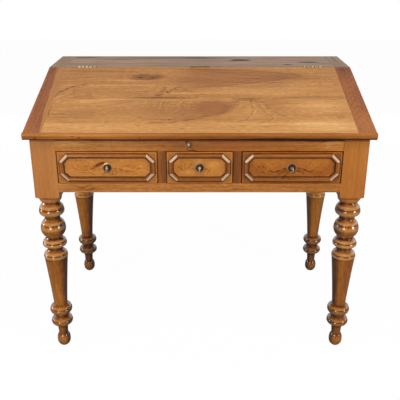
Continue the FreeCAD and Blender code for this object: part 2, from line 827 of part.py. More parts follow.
def bolt_mortise(x):
    # In the rail over the drawer
    width = bolt_head_width + 2 * lock_clearance
    top = bolt_head_top + bolt_throw + lock_clearance
    return block(about(x, width), grown(bolt_y, lock_clearance), (opening_bottom, top))


def drawer_lock(x):
    width = about(x, lock_width)
    plate = block(width, (plate_front, drawer_front_back), lock_z)
    selvage = block(width, (lock_front, drawer_front_back), (lock_z[1] - lock_plate, lock_z[1]))
    slot = block(about(x, bolt_head_width + 2 * lock_clearance), grown(bolt_y, lock_clearance),
                 (lock_z[1] - 2 * lock_plate, lock_z[1] + lock_plate))
    pin_y = (key_tip - key_bore_depth + 2 * lock_clearance, plate_front + lock_plate / 2)
    pin = rod_along_y(x, drawer_key_z, drill_pin_radius, pin_y)
    return joined([plate, selvage, pin]).cut(slot)


def lock_mortise(x):
    return block(grown(about(x, lock_width), joint_fit), (lock_front, drawer_front_back),
                 (lock_z[0] - joint_fit, lock_z[1]))


def drawer_escutcheon(x):
    # Round plate with a low domed face
    z = drawer_key_z
    rim = Vector(x + escutcheon_radius, front - escutcheon_rim, z)
    base = Vector(x + escutcheon_radius, front, z)
    top = Vector(x, front - escutcheon_height, z)
    sphere_radius = (escutcheon_radius ** 2 + (escutcheon_height - escutcheon_rim) ** 2)
    sphere_radius /= 2 * (escutcheon_height - escutcheon_rim)
    turn = math.asin(escutcheon_radius / sphere_radius) / 2
    middle = Vector(x + sphere_radius * math.sin(turn), top.y + sphere_radius * (1 - math.cos(turn)), z)
    centre = Vector(x, front, z)
    edges = [line(centre, base), line(base, rim), arc(rim, middle, top), line(top, centre)]
    disc = Part.Face(Part.Wire(edges)).revolve(centre, Vector(0, 1, 0), 360)
    return disc.cut(drawer_keyhole(x, (front - far, front + joint_fit)))


# Lid lock: the bolt slides sideways through the eye of a staple under the lid

lid_plate_front = front + top_rail_thickness - lock_plate
lid_bolt_back = lid_plate_front - lid_bolt_gap
lid_bolt_y = (lid_bolt_back - bolt_thickness, lid_bolt_back)
lid_key_z = opening_top + lid_key_height
lid_bit = (lid_key_bit_reach, lid_key_bit_thickness, lid_key_stem_radius)
lid_window_x = (lid_key_offset - window_room(*lid_bit, True), lid_key_offset + window_room(*lid_bit, False))
lid_window_half = lid_key_bit_reach + lock_clearance
lid_bolt_x = grown(lid_window_x, lid_bolt_frame)
staple_high_x = lid_bolt_x[0] - bolt_throw - lock_clearance
staple_x = (staple_high_x - staple_thickness, staple_high_x)
lid_tongue_z = about(lid_key_z + lid_bolt_lift, lid_tongue_height)
lid_mortise_z = (lid_key_z - lid_window_half - lid_bolt_frame - lock_clearance,
                 lid_tongue_z[1] + 2 * lock_clearance)
staple_along, staple_over = lid_frame(sum(lid_bolt_y) / 2, sum(lid_tongue_z) / 2)


def lid_bolt():
    window_z = about(lid_key_z, 2 * lid_window_half)
    window = block(lid_window_x, lid_bolt_y, window_z)
    plate = block(lid_bolt_x, lid_bolt_y, grown(window_z, lid_bolt_frame))
    arm_x = (lid_bolt_x[0], lid_bolt_x[0] + 2 * lid_bolt_frame)
    arm = block(arm_x, lid_bolt_y, (window_z[1], lid_tongue_z[1]))
    tongue = block((staple_x[1] + 2 * lock_clearance, arm_x[1]), lid_bolt_y, lid_tongue_z)
    return joined([plate, arm, tongue]).cut(window)


def lid_lock_spaces():
    # What is cut from the rail: the bolt's mortise, the staple's slot, the keyhole and the liner's seat
    mortise_x = (staple_x[0] - bolt_throw, lid_bolt_x[1] + lock_clearance)
    mortise_y = (lid_bolt_y[0] - 2 * lock_clearance, front + top_rail_thickness)
    mortise = block(mortise_x, mortise_y, lid_mortise_z)
    slot_y = (staple_along - staple_width / 2 - staple_swing, staple_along + far)
    slot = on_lid(block(grown(staple_x, 2 * lock_clearance), slot_y,
                        (staple_over - staple_eye - lock_clearance, board_thickness)))
    return [mortise, slot, lid_keyhole((front - far, lid_bolt_y[0])), liner_outside()]


def lid_keyhole(y_span):
    return keyhole(lid_key_offset, lid_key_z, y_span, lid_key_stem_radius + keyhole_margin,
                   lid_key_bit_thickness + 2 * lock_clearance, lid_key_bit_reach + lock_clearance)


def liner_outside():
    wall = lock_clearance + liner_wall
    head_radius = lid_key_stem_radius + keyhole_margin + liner_wall
    return keyhole(lid_key_offset, lid_key_z, (front, front + liner_depth), head_radius,
                   lid_key_bit_thickness + 2 * wall, lid_key_bit_reach + wall)


def lid_lock_cap():
    plate_x = (staple_x[1] + 2 * lock_clearance, lid_bolt_x[1] + lock_clearance)
    plate = block(plate_x, (lid_plate_front, front + top_rail_thickness), lid_mortise_z)
    pin_y = (lid_plate_front - key_bore_depth + 2 * lock_clearance, lid_plate_front + lock_plate / 2)
    pin = rod_along_y(lid_key_offset, lid_key_z, drill_pin_radius, pin_y)
    return joined([plate, pin])


def strike_plate_seat():
    width, depth, thickness = strike_plate_size
    return block(about(sum(staple_x) / 2, width), about(staple_along, depth),
                 (-board_thickness, -board_thickness + thickness))


def strike_plate():
    bottom = staple_over - staple_eye
    staple = block(staple_x, about(staple_along, staple_width), (bottom, -board_thickness))
    eye_y = about(staple_along, staple_eye)
    eye = block(grown(staple_x, staple_thickness), eye_y, about(staple_over, staple_eye))
    return joined([strike_plate_seat(), staple]).cut(eye)


def make_lid_lock():
    write("lid_lock_cap", [lid_lock_cap()])
    write("lid_lock_bolt", [lid_bolt()])
    write("lid_escutcheon", [liner_outside().cut(lid_keyhole((front - far, lid_plate_front)))])
    tip = lid_plate_front - lock_clearance
    write("lid_key", [key(lid_key_offset, lid_key_z, tip, grown(lid_bolt_y, lock_clearance),
                          lid_key_stem_radius, lid_key_bit_reach, lid_key_bit_thickness)])


# Drawers

side_z = (drawer_front_z[0], opening_top - drawer_side_drop)
bottom_z = (side_z[0] + drawer_bottom_lift, side_z[0] + drawer_bottom_lift + drawer_bottom_thickness)
drawer_end = front + drawer_length
back_y = (drawer_end - drawer_back_thickness, drawer_end)
back_z = (bottom_z[1] + joint_fit, side_z[1])


def tails(x_span, root_y, tip_y, z_span, fit):
    # Dovetails that widen from their root to their tip
    pitch = (z_span[1] - z_span[0]) / dovetail_count
    root_half = pitch / 4 + fit
    tip_half = root_half + abs(tip_y - root_y) / dovetail_slope
    tip_y += fit if tip_y > root_y else -fit
    shapes = []
    for index in range(dovetail_count):
        z = z_span[0] + (index + 0.5) * pitch
        corners = [
            (root_y, z - root_half),
            (root_y, z + root_half),
            (tip_y, z + tip_half),
            (tip_y, z - tip_half),
        ]
        points = [Vector(x_span[0], y, height) for y, height in corners]
        shapes.append(prism(points, Vector(x_span[1] - x_span[0], 0, 0)))
    return shapes


def front_tails(x_span, fit):
    return tails(x_span, drawer_front_back, drawer_front_back - dovetail_length, side_z, fit)


def back_tails(x_span, fit):
    return tails(x_span, back_y[0], back_y[1], back_z, fit)


def moulding_profile(length):
    # Section across a strip (X from the outer edge inwards, Y negative is proud), run along Z
    bead_end = moulding_width - moulding_lip
    points = [
        Vector(0, 0, 0),
        Vector(0, -moulding_step, 0),
        Vector(moulding_fillet, -moulding_step, 0),
        Vector(bead_end, -moulding_step, 0),
        Vector(moulding_width, -moulding_lip, 0),
        Vector(moulding_width, 0, 0),
    ]
    crown = Vector((moulding_fillet + bead_end) / 2, -moulding_height, 0)
    edges = [
        line(points[0], points[1]),
        line(points[1], points[2]),
        arc(points[2], crown, points[3]),
        line(points[3], points[4]),
        line(points[4], points[5]),
        line(points[5], points[0]),
    ]
    return Part.Face(Part.Wire(edges)).extrude(Vector(0, 0, length))


def octagon(x_span, z_span, corner):
    (left, right), (low, high) = x_span, z_span
    return [
        Vector(left + corner, front, low), Vector(right - corner, front, low),
        Vector(right, front, low + corner), Vector(right, front, high - corner),
        Vector(right - corner, front, high), Vector(left + corner, front, high),
        Vector(left, front, high - corner), Vector(left, front, low + corner),
    ]


def make_moulding(x_span, z_span):
    # Eight strips mitred round an octagon
    inner_corner = moulding_corner - moulding_width * (2 - math.sqrt(2))
    outside = octagon(grown(x_span, -moulding_inset), grown(z_span, -moulding_inset), moulding_corner)
    inset = moulding_inset + moulding_width
    inside = octagon(grown(x_span, -inset), grown(z_span, -inset), inner_corner)
    strips = []
    for index in range(8):
        after = (index + 1) % 8
        corners = [outside[index], outside[after], inside[after], inside[index]]
        plan = prism(corners, Vector(0, -2 * moulding_height, 0))
        along = outside[after] - outside[index]
        turn = math.degrees(math.atan2(along.x, along.z))
        strip = moulding_profile(along.Length)
        strip = strip.mirror(Vector(0, 0, 0), Vector(1, 0, 0))
        strip.rotate(Vector(0, 0, 0), Vector(0, 1, 0), turn)
        strip.translate(outside[index])
        strips.append(strip.common(plan))
    return strips


def make_drawer(name, opening):
    width = grown(opening, -drawer_side_gap)
    middle = sum(width) / 2
    left_x = (width[0], width[0] + drawer_side_thickness)
    right_x = (width[1] - drawer_side_thickness, width[1])
    box_y = (drawer_front_back, back_y[0])

    bottom_x = (left_x[1] - drawer_bottom_tongue, right_x[0] + drawer_bottom_tongue)
    inside_x = (left_x[1], right_x[0])
    lip_y = (drawer_front_back - drawer_bottom_tongue, drawer_front_back)
    bottom = joined([
        block(bottom_x, (drawer_front_back, drawer_end), bottom_z),
        block(inside_x, lip_y, bottom_z),
    ])
    groove_z = grown(bottom_z, joint_fit)
    groove_x = grown(bottom_x, joint_fit)

    face = block(width, (front, drawer_front_back), drawer_front_z)
    sockets = [grown(left_x, joint_fit), grown(right_x, joint_fit)]
    cuts = [tail for span in sockets for tail in front_tails(span, joint_fit)]
    cuts.append(block(grown(inside_x, joint_fit), grown(lip_y, joint_fit), groove_z))
    cuts.append(lock_mortise(middle))
    cuts.append(drawer_keyhole(middle, (front - far, lock_front)))
    write("drawer_" + name + "_front", [face.cut(cuts)])

    groove = block(groove_x, (drawer_front_back, drawer_end + joint_fit), groove_z)
    sides = []
    for span in (left_x, right_x):
        side = joined([block(span, box_y, side_z)] + front_tails(span, 0) + back_tails(span, 0))
        sides.append(side.cut(groove))
    write("drawer_" + name + "_sides", sides)

    back = block(width, back_y, back_z)
    back_sockets = [tail for span in sockets for tail in back_tails(span, joint_fit)]
    write("drawer_" + name + "_back", [back.cut(back_sockets)])
    write("drawer_" + name + "_bottom", [bottom])

    write("drawer_" + name + "_moulding", make_moulding(width, drawer_front_z))
    write("drawer_" + name + "_escutcheon", [drawer_escutcheon(middle)])
    write("drawer_" + name + "_lock", [drawer_lock(middle)])
    write("drawer_" + name + "_bolt", [drawer_bolt(middle)])
    write("drawer_" + name + "_key", [key(middle, drawer_key_z, key_tip, bit_y, key_stem_radius,
                                         key_bit_reach, key_bit_thickness)])


# Strings tied to the keys' bows

def cord(name, points):
    # Straight runs joined by arcs that touch them
    edges = []
    last = points[0]
    for before, corner, after in zip(points, points[1:], points[2:]):
        to_start = (before - corner).normalize()
        to_end = (after - corner).normalize()
        half_turn = (math.pi - to_start.getAngle(to_end)) / 2
        shorter = min((before - corner).Length, (after - corner).Length)
        setback = cord_fullness * shorter
        radius = setback / math.tan(half_turn)
        start = corner + to_start * setback
        end = corner + to_end * setback
        inwards = (to_start + to_end).normalize()
        middle = corner + inwards * (radius / math.cos(half_turn) - radius)
        edges += [line(last, start), arc(start, middle, end)]
        last = end
        print(name, "bend radius", round(radius, 1))
    edges.append(line(last, points[-1]))
    path = Part.Wire(edges)
    circle = Part.makeCircle(cord_diameter / 2, points[0], points[1] - points[0])
    tube = path.makePipeShell([Part.Wire(circle)], True, False)
    section = math.pi * cord_diameter ** 2 / 4
    print(name, "length", round(path.Length, 1), "volume over section", round(tube.Volume / section, 1))
    return tube


def make_cords():
    at_lid = Vector(lid_key_offset, front, lid_key_z)
    write("lid_key_cord", [cord("lid_key_cord", [at_lid + Vector(*point) for point in lid_cord_points])])
    at_drawer = Vector(sum(drawers["right"]) / 2, front, drawer_key_z)
    route = [at_drawer + Vector(*point) for point in drawer_cord_points]
    write("drawer_right_key_cord", [cord("drawer_right_key_cord", route)])


os.makedirs("parts", exist_ok=True)
make_legs()
make_top_rail(lid_lock_spaces(), [bolt_mortise(sum(span) / 2) for span in drawers.values()])
make_bottom_rail()
make_dividers()
make_panels()
make_dust_board(lid_lock_spaces())
make_runners()
make_hinges()
make_shelf()
make_lid()
make_lid_lock()
for drawer_name, drawer_opening in drawers.items():
    make_drawer(drawer_name, drawer_opening)
make_cords()
print("lid slope in degrees", round(math.degrees(lid_slope), 2))
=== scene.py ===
import json
import math

import bpy
from mathutils import Matrix, Vector


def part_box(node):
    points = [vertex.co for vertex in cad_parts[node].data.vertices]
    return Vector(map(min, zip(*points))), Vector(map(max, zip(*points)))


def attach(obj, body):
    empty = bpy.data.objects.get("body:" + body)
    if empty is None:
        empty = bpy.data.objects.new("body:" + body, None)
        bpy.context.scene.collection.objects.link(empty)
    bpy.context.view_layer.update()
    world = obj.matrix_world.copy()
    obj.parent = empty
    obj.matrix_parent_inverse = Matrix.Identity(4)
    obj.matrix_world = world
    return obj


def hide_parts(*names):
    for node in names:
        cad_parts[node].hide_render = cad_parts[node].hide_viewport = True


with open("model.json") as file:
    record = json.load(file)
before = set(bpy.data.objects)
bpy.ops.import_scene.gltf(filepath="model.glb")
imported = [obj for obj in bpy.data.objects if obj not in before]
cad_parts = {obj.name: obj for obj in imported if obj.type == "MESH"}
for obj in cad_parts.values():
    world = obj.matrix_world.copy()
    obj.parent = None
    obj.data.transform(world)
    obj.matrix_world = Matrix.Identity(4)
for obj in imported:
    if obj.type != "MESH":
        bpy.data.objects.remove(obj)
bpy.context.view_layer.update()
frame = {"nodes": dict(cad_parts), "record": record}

bpy.ops.object.select_all(action="DESELECT")
print("desk loaded,", len(frame["nodes"]), "nodes")

jointPlace = {joint["name"]: joint.get("pos_m") for joint in frame["record"]["behaviour"]["joints"]}


# Camera, where the photographer stood

deskCamera = {
    "place": (0.0027, -2.0552, 1.2722),    # metres
    "downwards": 0.39098,                  # radians under the horizon
    "toTheRight": -0.0009,
    "focalPixels": 625.65,                 # in a picture of the width below
    "pictureWidth": 400,
    "sensor": 36.0,
}


def placeCamera(view):
    turn = (math.pi / 2 - view["downwards"], 0.0, -view["toTheRight"])
    bpy.ops.object.camera_add(location=view["place"], rotation=turn)
    camera = bpy.context.object
    camera.name = "deskCamera"
    camera.data.sensor_width = view["sensor"]
    camera.data.lens = view["focalPixels"] / view["pictureWidth"] * view["sensor"]
    bpy.context.scene.camera = camera


placeCamera(deskCamera)
print("camera placed")


# Strings tied to two of the keys, points from the key's axis and the desk's front, in metres

lidKeyString = {
    "name": "lid_key_string",
    "node": "lid_key_cord",
    "body": "case",
    "key": "lid_key_turn",
    "diameter": 0.0016,
    "length": 0.0683,
    "exit": (0.0, -0.0175, -0.006),
    "points": [
        (0.0156, -0.013, -0.0176), (0.0123, -0.0145, -0.0124), (0.0086, -0.016, -0.0074),
        (0.0036, -0.0175, -0.0039), (-0.0034, -0.0175, -0.0039), (-0.0066, -0.0178, -0.0084),
        (-0.0026, -0.0182, -0.0126), (0.0056, -0.0186, -0.0133), (0.0135, -0.018, -0.0136),
        (0.0215, -0.016, -0.0152), (0.029, -0.014, -0.0176),
    ],
}
drawerKeyString = {
    "name": "drawer_right_key_string",
    "node": "drawer_right_key_cord",
    "body": "drawer_right",
    "key": "drawer_right_key_turn",
    "diameter": 0.0016,
    "length": 0.0962,
    "exit": (-0.015, -0.0175, -0.0107),
    "points": [
        (-0.0265, -0.014, -0.03), (-0.0213, -0.0153, -0.0206), (-0.0155, -0.016, -0.011),
        (-0.009, -0.017, -0.0057), (-0.0035, -0.0175, -0.0039), (0.0035, -0.0175, -0.0039),
        (0.0065, -0.018, -0.0085), (0.0025, -0.0185, -0.0127), (-0.006, -0.019, -0.0132),
        (-0.0145, -0.0194, -0.0105), (-0.0215, -0.0185, -0.0165), (-0.0275, -0.017, -0.023),
        (-0.0325, -0.016, -0.0295),
    ],
}
stringForm = {"roundness": 4, "fineness": 10, "order": 3}
deskFront = -0.293      # front faces of the leg blocks


def tieString(string):
    keyX, _, keyZ = jointPlace[string["key"]]
    curve = bpy.data.curves.new(string["name"], "CURVE")
    curve.dimensions = "3D"
    curve.bevel_resolution = stringForm["roundness"]
    curve.resolution_u = stringForm["fineness"]
    curve.use_fill_caps = True
    run = curve.splines.new("NURBS")
    run.points.add(len(string["points"]) - 1)
    for point, (x, y, z) in zip(run.points, string["points"]):
        point.co = (keyX + x, deskFront + y, keyZ + z, 1.0)
    run.order_u = stringForm["order"]
    run.use_endpoint_u = True
    piece = bpy.data.objects.new(string["name"], curve)
    bpy.context.collection.objects.link(piece)
    # middle of the string, before it has a thickness
    line = [tuple(vertex.co) for vertex in piece.to_mesh().vertices]
    piece.to_mesh_clear()
    curve.bevel_depth = string["diameter"] / 2
    bpy.ops.object.select_all(action="DESELECT")
    bpy.context.view_layer.objects.active = piece
    piece.select_set(True)
    bpy.ops.object.convert(target="MESH")
    bpy.ops.object.shade_smooth()
    piece = bpy.context.object
    x, y, z = string["exit"]
    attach(piece, string["body"])
    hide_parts(string["node"])
    return piece


stringPieces = [tieString(lidKeyString), tieString(drawerKeyString)]
print("strings tied")


# Small helpers for the finishes

def tint(red, green, blue):
    # a colour as a screen shows it, 0 to 255, to the scene's own values
    parts = [value / 255 for value in (red, green, blue)]
    linear = [p / 12.92 if p <= 0.04045 else ((p + 0.055) / 1.055) ** 2.4 for p in parts]
    return (*linear, 1.0)


def feed(tree, made, inputs):
    # links what comes out of a node, and sets anything else on the input itself
    for key, value in inputs.items():
        if isinstance(value, bpy.types.NodeSocket):
            tree.links.new(value, made.inputs[key])
        else:
            made.inputs[key].default_value = value


def put(tree, kind, inputs=None, **settings):
    made = tree.nodes.new("ShaderNode" + kind)
    for key, value in settings.items():
        setattr(made, key, value)
    feed(tree, made, inputs or {})
    return made


def calc(tree, operation, *values, clamp=False):
    return put(tree, "Math", dict(enumerate(values)), operation=operation, use_clamp=clamp).outputs[0]


def steer(tree, operation, *values):
    # the same for places and directions
    made = put(tree, "VectorMath", dict(enumerate(values)), operation=operation)
    return made.outputs["Value" if operation in ("LENGTH", "DOT_PRODUCT") else "Vector"]


def stretch(tree, where, scale, shift=(0.0, 0.0, 0.0)):
    return steer(tree, "MULTIPLY_ADD", where, scale, shift)


def parted(tree, vector):
    return put(tree, "SeparateXYZ", {0: vector}).outputs


def pieceSpot(tree):
    return put(tree, "TexCoord").outputs["Object"]


def cloud(tree, where, detail=2.0, roughness=0.5, distortion=0.0, output=0):
    made = put(tree, "TexNoise", {"Vector": where, "Scale": 1.0, "Detail": detail,
                                  "Roughness": roughness, "Distortion": distortion})
    return made.outputs[output]


def span(tree, value, low, high, atLow, atHigh, kind="LINEAR"):
    made = put(tree, "MapRange", {"Value": value, "From Min": low, "From Max": high,
                                  "To Min": atLow, "To Max": atHigh}, interpolation_type=kind)
    return made.outputs[0]


def ease(tree, value, low, high, atLow, atHigh):
    return span(tree, value, low, high, atLow, atHigh, "SMOOTHSTEP")


def mixed(tree, factor, first, second):
    return put(tree, "Mix", {0: factor, 6: first, 7: second}, data_type="RGBA").outputs[2]


def shades(tree, factor, stops):
    made = put(tree, "ValToRGB", {0: factor})
    ramp = made.color_ramp
    while len(ramp.elements) < len(stops):
        ramp.elements.new(0.5)
    for element, (place, colour) in zip(ramp.elements, stops):
        element.position = place
        element.color = colour
    return made.outputs[0]


def oval(tree, where, x, y, reachX, reachY, turn, soft):
    # 1 in the middle of an oval on the board, 0 outside, in millimetres and degrees
    local = put(tree, "Mapping", {"Vector": where, "Location": (x / 1000, y / 1000, 0.0),
                                  "Rotation": (0.0, 0.0, math.radians(turn)),
                                  "Scale": (reachX / 1000, reachY / 1000, 1.0)}, vector_type="TEXTURE")
    return ease(tree, steer(tree, "LENGTH", local.outputs[0]), 1.0 - soft, 1.0, 1.0, 0.0)


def strokes(points, width, soft, amount):
    # marks along a bent line through points on the board, in millimetres
    marks = []
    for (x1, y1), (x2, y2) in zip(points, points[1:]):
        reach = math.hypot(x2 - x1, y2 - y1) / 2 + width
        turn = math.degrees(math.atan2(y2 - y1, x2 - x1))
        marks.append(((x1 + x2) / 2, (y1 + y2) / 2, reach, width, turn, soft, amount))
    return marks


markGroup = {
    "count": 20,
    "pull": (0.002, 0.002, 0.0),     # metres that the figure so far pulls the next marks
}


def drawMarks(tree, tone, where, marks, strength=1.0):
    for number, (*form, amount) in enumerate(marks):
        if number % markGroup["count"] == 0:
            pulled = steer(tree, "MULTIPLY_ADD", tone, markGroup["pull"], where)
        tone = calc(tree, "MULTIPLY_ADD", oval(tree, pulled, *form), amount * strength, tone)
    return tone


def loopArm(tree, where, acrossX, acrossY, start, gap):
    # direction across the lines, first line and gap, in millimetres
    value = steer(tree, "DOT_PRODUCT", where, (acrossX * 1000 / gap, acrossY * 1000 / gap, 0.0))
    return calc(tree, "SUBTRACT", value, start / gap)


def loopLines(tree, where, arms, bend, width, depth, patch):
    # nested lines, each of two arms that meet in a rounded tip
    number = calc(tree, "SMOOTH_MAX", *[loopArm(tree, where, *arm) for arm in arms], bend)
    line = ease(tree, calc(tree, "PINGPONG", number, 0.5), 0.0, width, depth, 0.0)
    return calc(tree, "MULTIPLY", line, oval(tree, where, *patch))


def heartLens(tree, where, form):
    # 1 inside a tongue with a round tip that widens to the left, less between its rings, in millimetres
    tipX, tipY = form["tip"]
    x, y, _ = parted(tree, where)
    back = calc(tree, "MAXIMUM", calc(tree, "SUBTRACT", tipX / 1000, x), 0.0)
    rise = calc(tree, "SUBTRACT", y, tipY / 1000)
    rise = calc(tree, "ABSOLUTE", calc(tree, "MULTIPLY_ADD", back, form["tilt"], rise))
    half = calc(tree, "SQRT", calc(tree, "MULTIPLY", back, form["round"] / 1000))
    edge = calc(tree, "SUBTRACT", half, rise)
    inside = ease(tree, edge, 0.0, form["soft"] / 1000, 0.0, 1.0)
    number = calc(tree, "PINGPONG", calc(tree, "DIVIDE", edge, form["gap"] / 1000), 0.5)
    rings = ease(tree, number, 0.0, 0.5, 1.0, form["between"])
    start, end = form["fade"]
    shown = ease(tree, x, start / 1000, end / 1000, 0.0, 1.0)
    return calc(tree, "MULTIPLY", calc(tree, "MULTIPLY", inside, rings), shown)


def octagonDepth(tree, spot, node, corner):
    # metres inwards from a frame's outer edge, and from its cut corners alone
    low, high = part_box(node)
    x, _, z = parted(tree, spot)
    inwards = []
    for axis, value in ((0, x), (2, z)):
        middle = (low[axis] + high[axis]) / 2
        away = calc(tree, "ABSOLUTE", calc(tree, "SUBTRACT", value, middle))
        inwards.append(calc(tree, "SUBTRACT", high[axis] - middle, away))
    pastCorner = calc(tree, "SUBTRACT", calc(tree, "ADD", *inwards), corner)
    return calc(tree, "MINIMUM", *inwards), calc(tree, "DIVIDE", pastCorner, math.sqrt(2))


mouldingForm = {                         # in metres
    "corner": 0.024, "width": 0.0155,
    "foot": (0.0004, 0.0022),            # dirt and painted shade along both edges
    "footShade": -0.42,
    "corners": tint(236, 212, 184),      # painted highlight on the strips across the corners
    "cornerShare": 0.64,
    "cornerBlend": 0.0003,
    "fromInside": (0.0045, 0.0085),      # where the painted highlight on the corner strips begins, from the inner and the outer edge
    "fromOutside": (0.0012, 0.0026),
    "crestHighlight": 0.12,
    "crestRise": (0.002, 0.0045),        # painted highlight along the crest, from the outer edge
    "crestFall": (0.0065, 0.010),
}


# dirt and painted shade along a moulding's edges, a painted highlight on its crest, and the share of the
# painted highlight on the corner strips
def mouldingShade(tree, spot, node):
    form = mouldingForm
    straight, slanted = octagonDepth(tree, spot, node, form["corner"])
    depth = calc(tree, "MINIMUM", straight, slanted)
    inner = calc(tree, "SUBTRACT", form["width"], depth)
    toEdge = calc(tree, "MINIMUM", depth, inner)
    foot = ease(tree, toEdge, *form["foot"], form["footShade"], 0.0)
    lead, blend = calc(tree, "SUBTRACT", straight, slanted), form["cornerBlend"]
    onCorner = span(tree, lead, -blend, blend, 0.0, form["cornerShare"])
    paleBand = ease(tree, inner, *form["fromInside"], 0.0, 1.0)
    paleBand = calc(tree, "MULTIPLY", paleBand, span(tree, depth, *form["fromOutside"], 0.0, 1.0))
    # painted highlight along the crest
    crest = ease(tree, depth, *form["crestRise"], 0.0, form["crestHighlight"])
    crest = calc(tree, "MULTIPLY", crest, ease(tree, depth, *form["crestFall"], 1.0, 0.0))
    return calc(tree, "ADD", foot, crest), calc(tree, "MULTIPLY", onCorner, paleBand)


arrisSamples = 6
coatRoughness = 0.18


def softArris(tree, radius):
    return put(tree, "Bevel", {"Radius": radius}, samples=arrisSamples).outputs[0]


def bumped(tree, strength, distance, height, normal):
    made = put(tree, "Bump", {"Strength": strength, "Distance": distance, "Height": height, "Normal": normal})
    return made.outputs[0]


def newFinish(name):
    finish = bpy.data.materials.new(name)
    finish.use_nodes = True
    tree = finish.node_tree
    tree.nodes.clear()
    shader = put(tree, "BsdfPrincipled")
    put(tree, "OutputMaterial", {"Surface": shader.outputs[0]})
    return finish, tree, shader


def dress(finish, *names):
    for name in names:
        piece = bpy.data.objects[name]
        piece.data.materials.clear()
        piece.data.materials.append(finish)


# Walnut, in boards and turnings. X runs along the grain, Y across it, Z through the board

lidRise, lidRun = 0.1175, 0.415                          # metres
lidSlope = math.atan2(lidRise, lidRun)
lidZero = (0.0, -0.309, 0.762)                           # on the lid's face, 9 mm behind its front edge
grainUp = (0.0, -math.pi / 2, 0.0)                       # grain along the height
grainBack = (0.0, 0.0, math.pi / 2)                      # grain from front to back
faceFront = (math.pi / 2, 0.0, 0.0)                      # upright face, grain along the width
lidGrainAcross = (lidSlope, 0.0, 0.0)                    # grain along the lid's width
lidGrainDown = tuple((Matrix.Rotation(lidSlope, 3, "X") @ Matrix.Rotation(math.pi / 2, 3, "Z")).to_euler())

walnutShades = [
    (0.00, tint(52, 27, 13)), (0.22, tint(112, 67, 35)), (0.42, tint(163, 107, 57)),
    (0.60, tint(196, 136, 75)), (0.80, tint(220, 160, 94)), (1.00, tint(238, 188, 126)),
]
plainWalnut = {
    "place": (0.0, 0.0, 0.0), "turn": (0.0, 0.0, 0.0),
    "shades": walnutShades,
    "tone": 0.55,               # middle of the shades
    "ringWidth": 0.016,         # metres between growth rings
    "ringTilt": 0.35,           # how much a ring moves with the depth
    "wander": 1.6,              # rings that the figure strays
    "ringDepth": 0.10,
    "ringLift": 0.25,           # share of that which the early wood gains
    "streaks": 0.22,
    "fibre": 0.14,
    "cloudy": 0.16,
    "pores": 0.10,
    "mottle": 0.07,
    "pushes": [],               # bends of the rings round a knot
    "marks": [],                # darker and lighter ovals
    "loops": [],                # nested lines of a cathedral figure
    "bands": [],                # lighter or darker up to a line across the board
    "blushes": [],              # redder ovals
    "creams": [],               # pale cream ovals; on the legs, wear and painted sheen
    "lens": None,               # tongue of redder heartwood
    "octagon": None,            # node of a moulding with cut corners
    "inwards": 0.0,             # 1 or -1 where the sides that face right or left get a painted shade
    "innerSpan": (0.35, 1.0),
    "innerTone": -0.42,
    "ragged": 0.012,            # metres that marks stray
    "strayLong": 2.2,           # times as far along the grain
    "loopStray": 1.1,           # and for the loops
    "lateWood": 3.0,            # how late in a ring the wood darkens
    "poreSpan": (0.60, 0.72),
    "blush": tint(164, 103, 58),
    "cream": tint(214, 174, 122),
    "roughness": 0.42,
    "roughClouds": 0.16,
    "roughFibre": 0.08,
    "gloss": 0.5,
    "coat": 0.0,
    "coatIndex": 1.5,
    "dulled": 0.0,              # share of the gloss that the darkest stains lose
    "relief": 0.25,
    "reliefDepth": 0.0004,
    "streakRelief": 0.6,
    "poreRelief": 0.8,
    "edge": 0.0012,             # worn radius of an arris, metres
    "edgeTone": 0.08,
    "edgeSpan": (0.99, 0.86),   # cosine of the turn, from flat to rubbed
    "seed": 0.0,
    "seedStep": (1.7, 0.9, 1.3),
}
walnutGrain = {                 # how close each pattern lies along and across the grain, in a metre
    "stray": (14.0, 30.0, 30.0),
    "sway": (2.4, 9.0, 9.0),
    "streaks": (3.0, 75.0, 75.0),
    "fibre": (14.0, 520.0, 520.0),
    "cloudy": (3.5, 9.0, 9.0),
    "mottle": (55.0, 150.0, 150.0),
    "pores": (60.0, 1300.0, 1300.0),
}


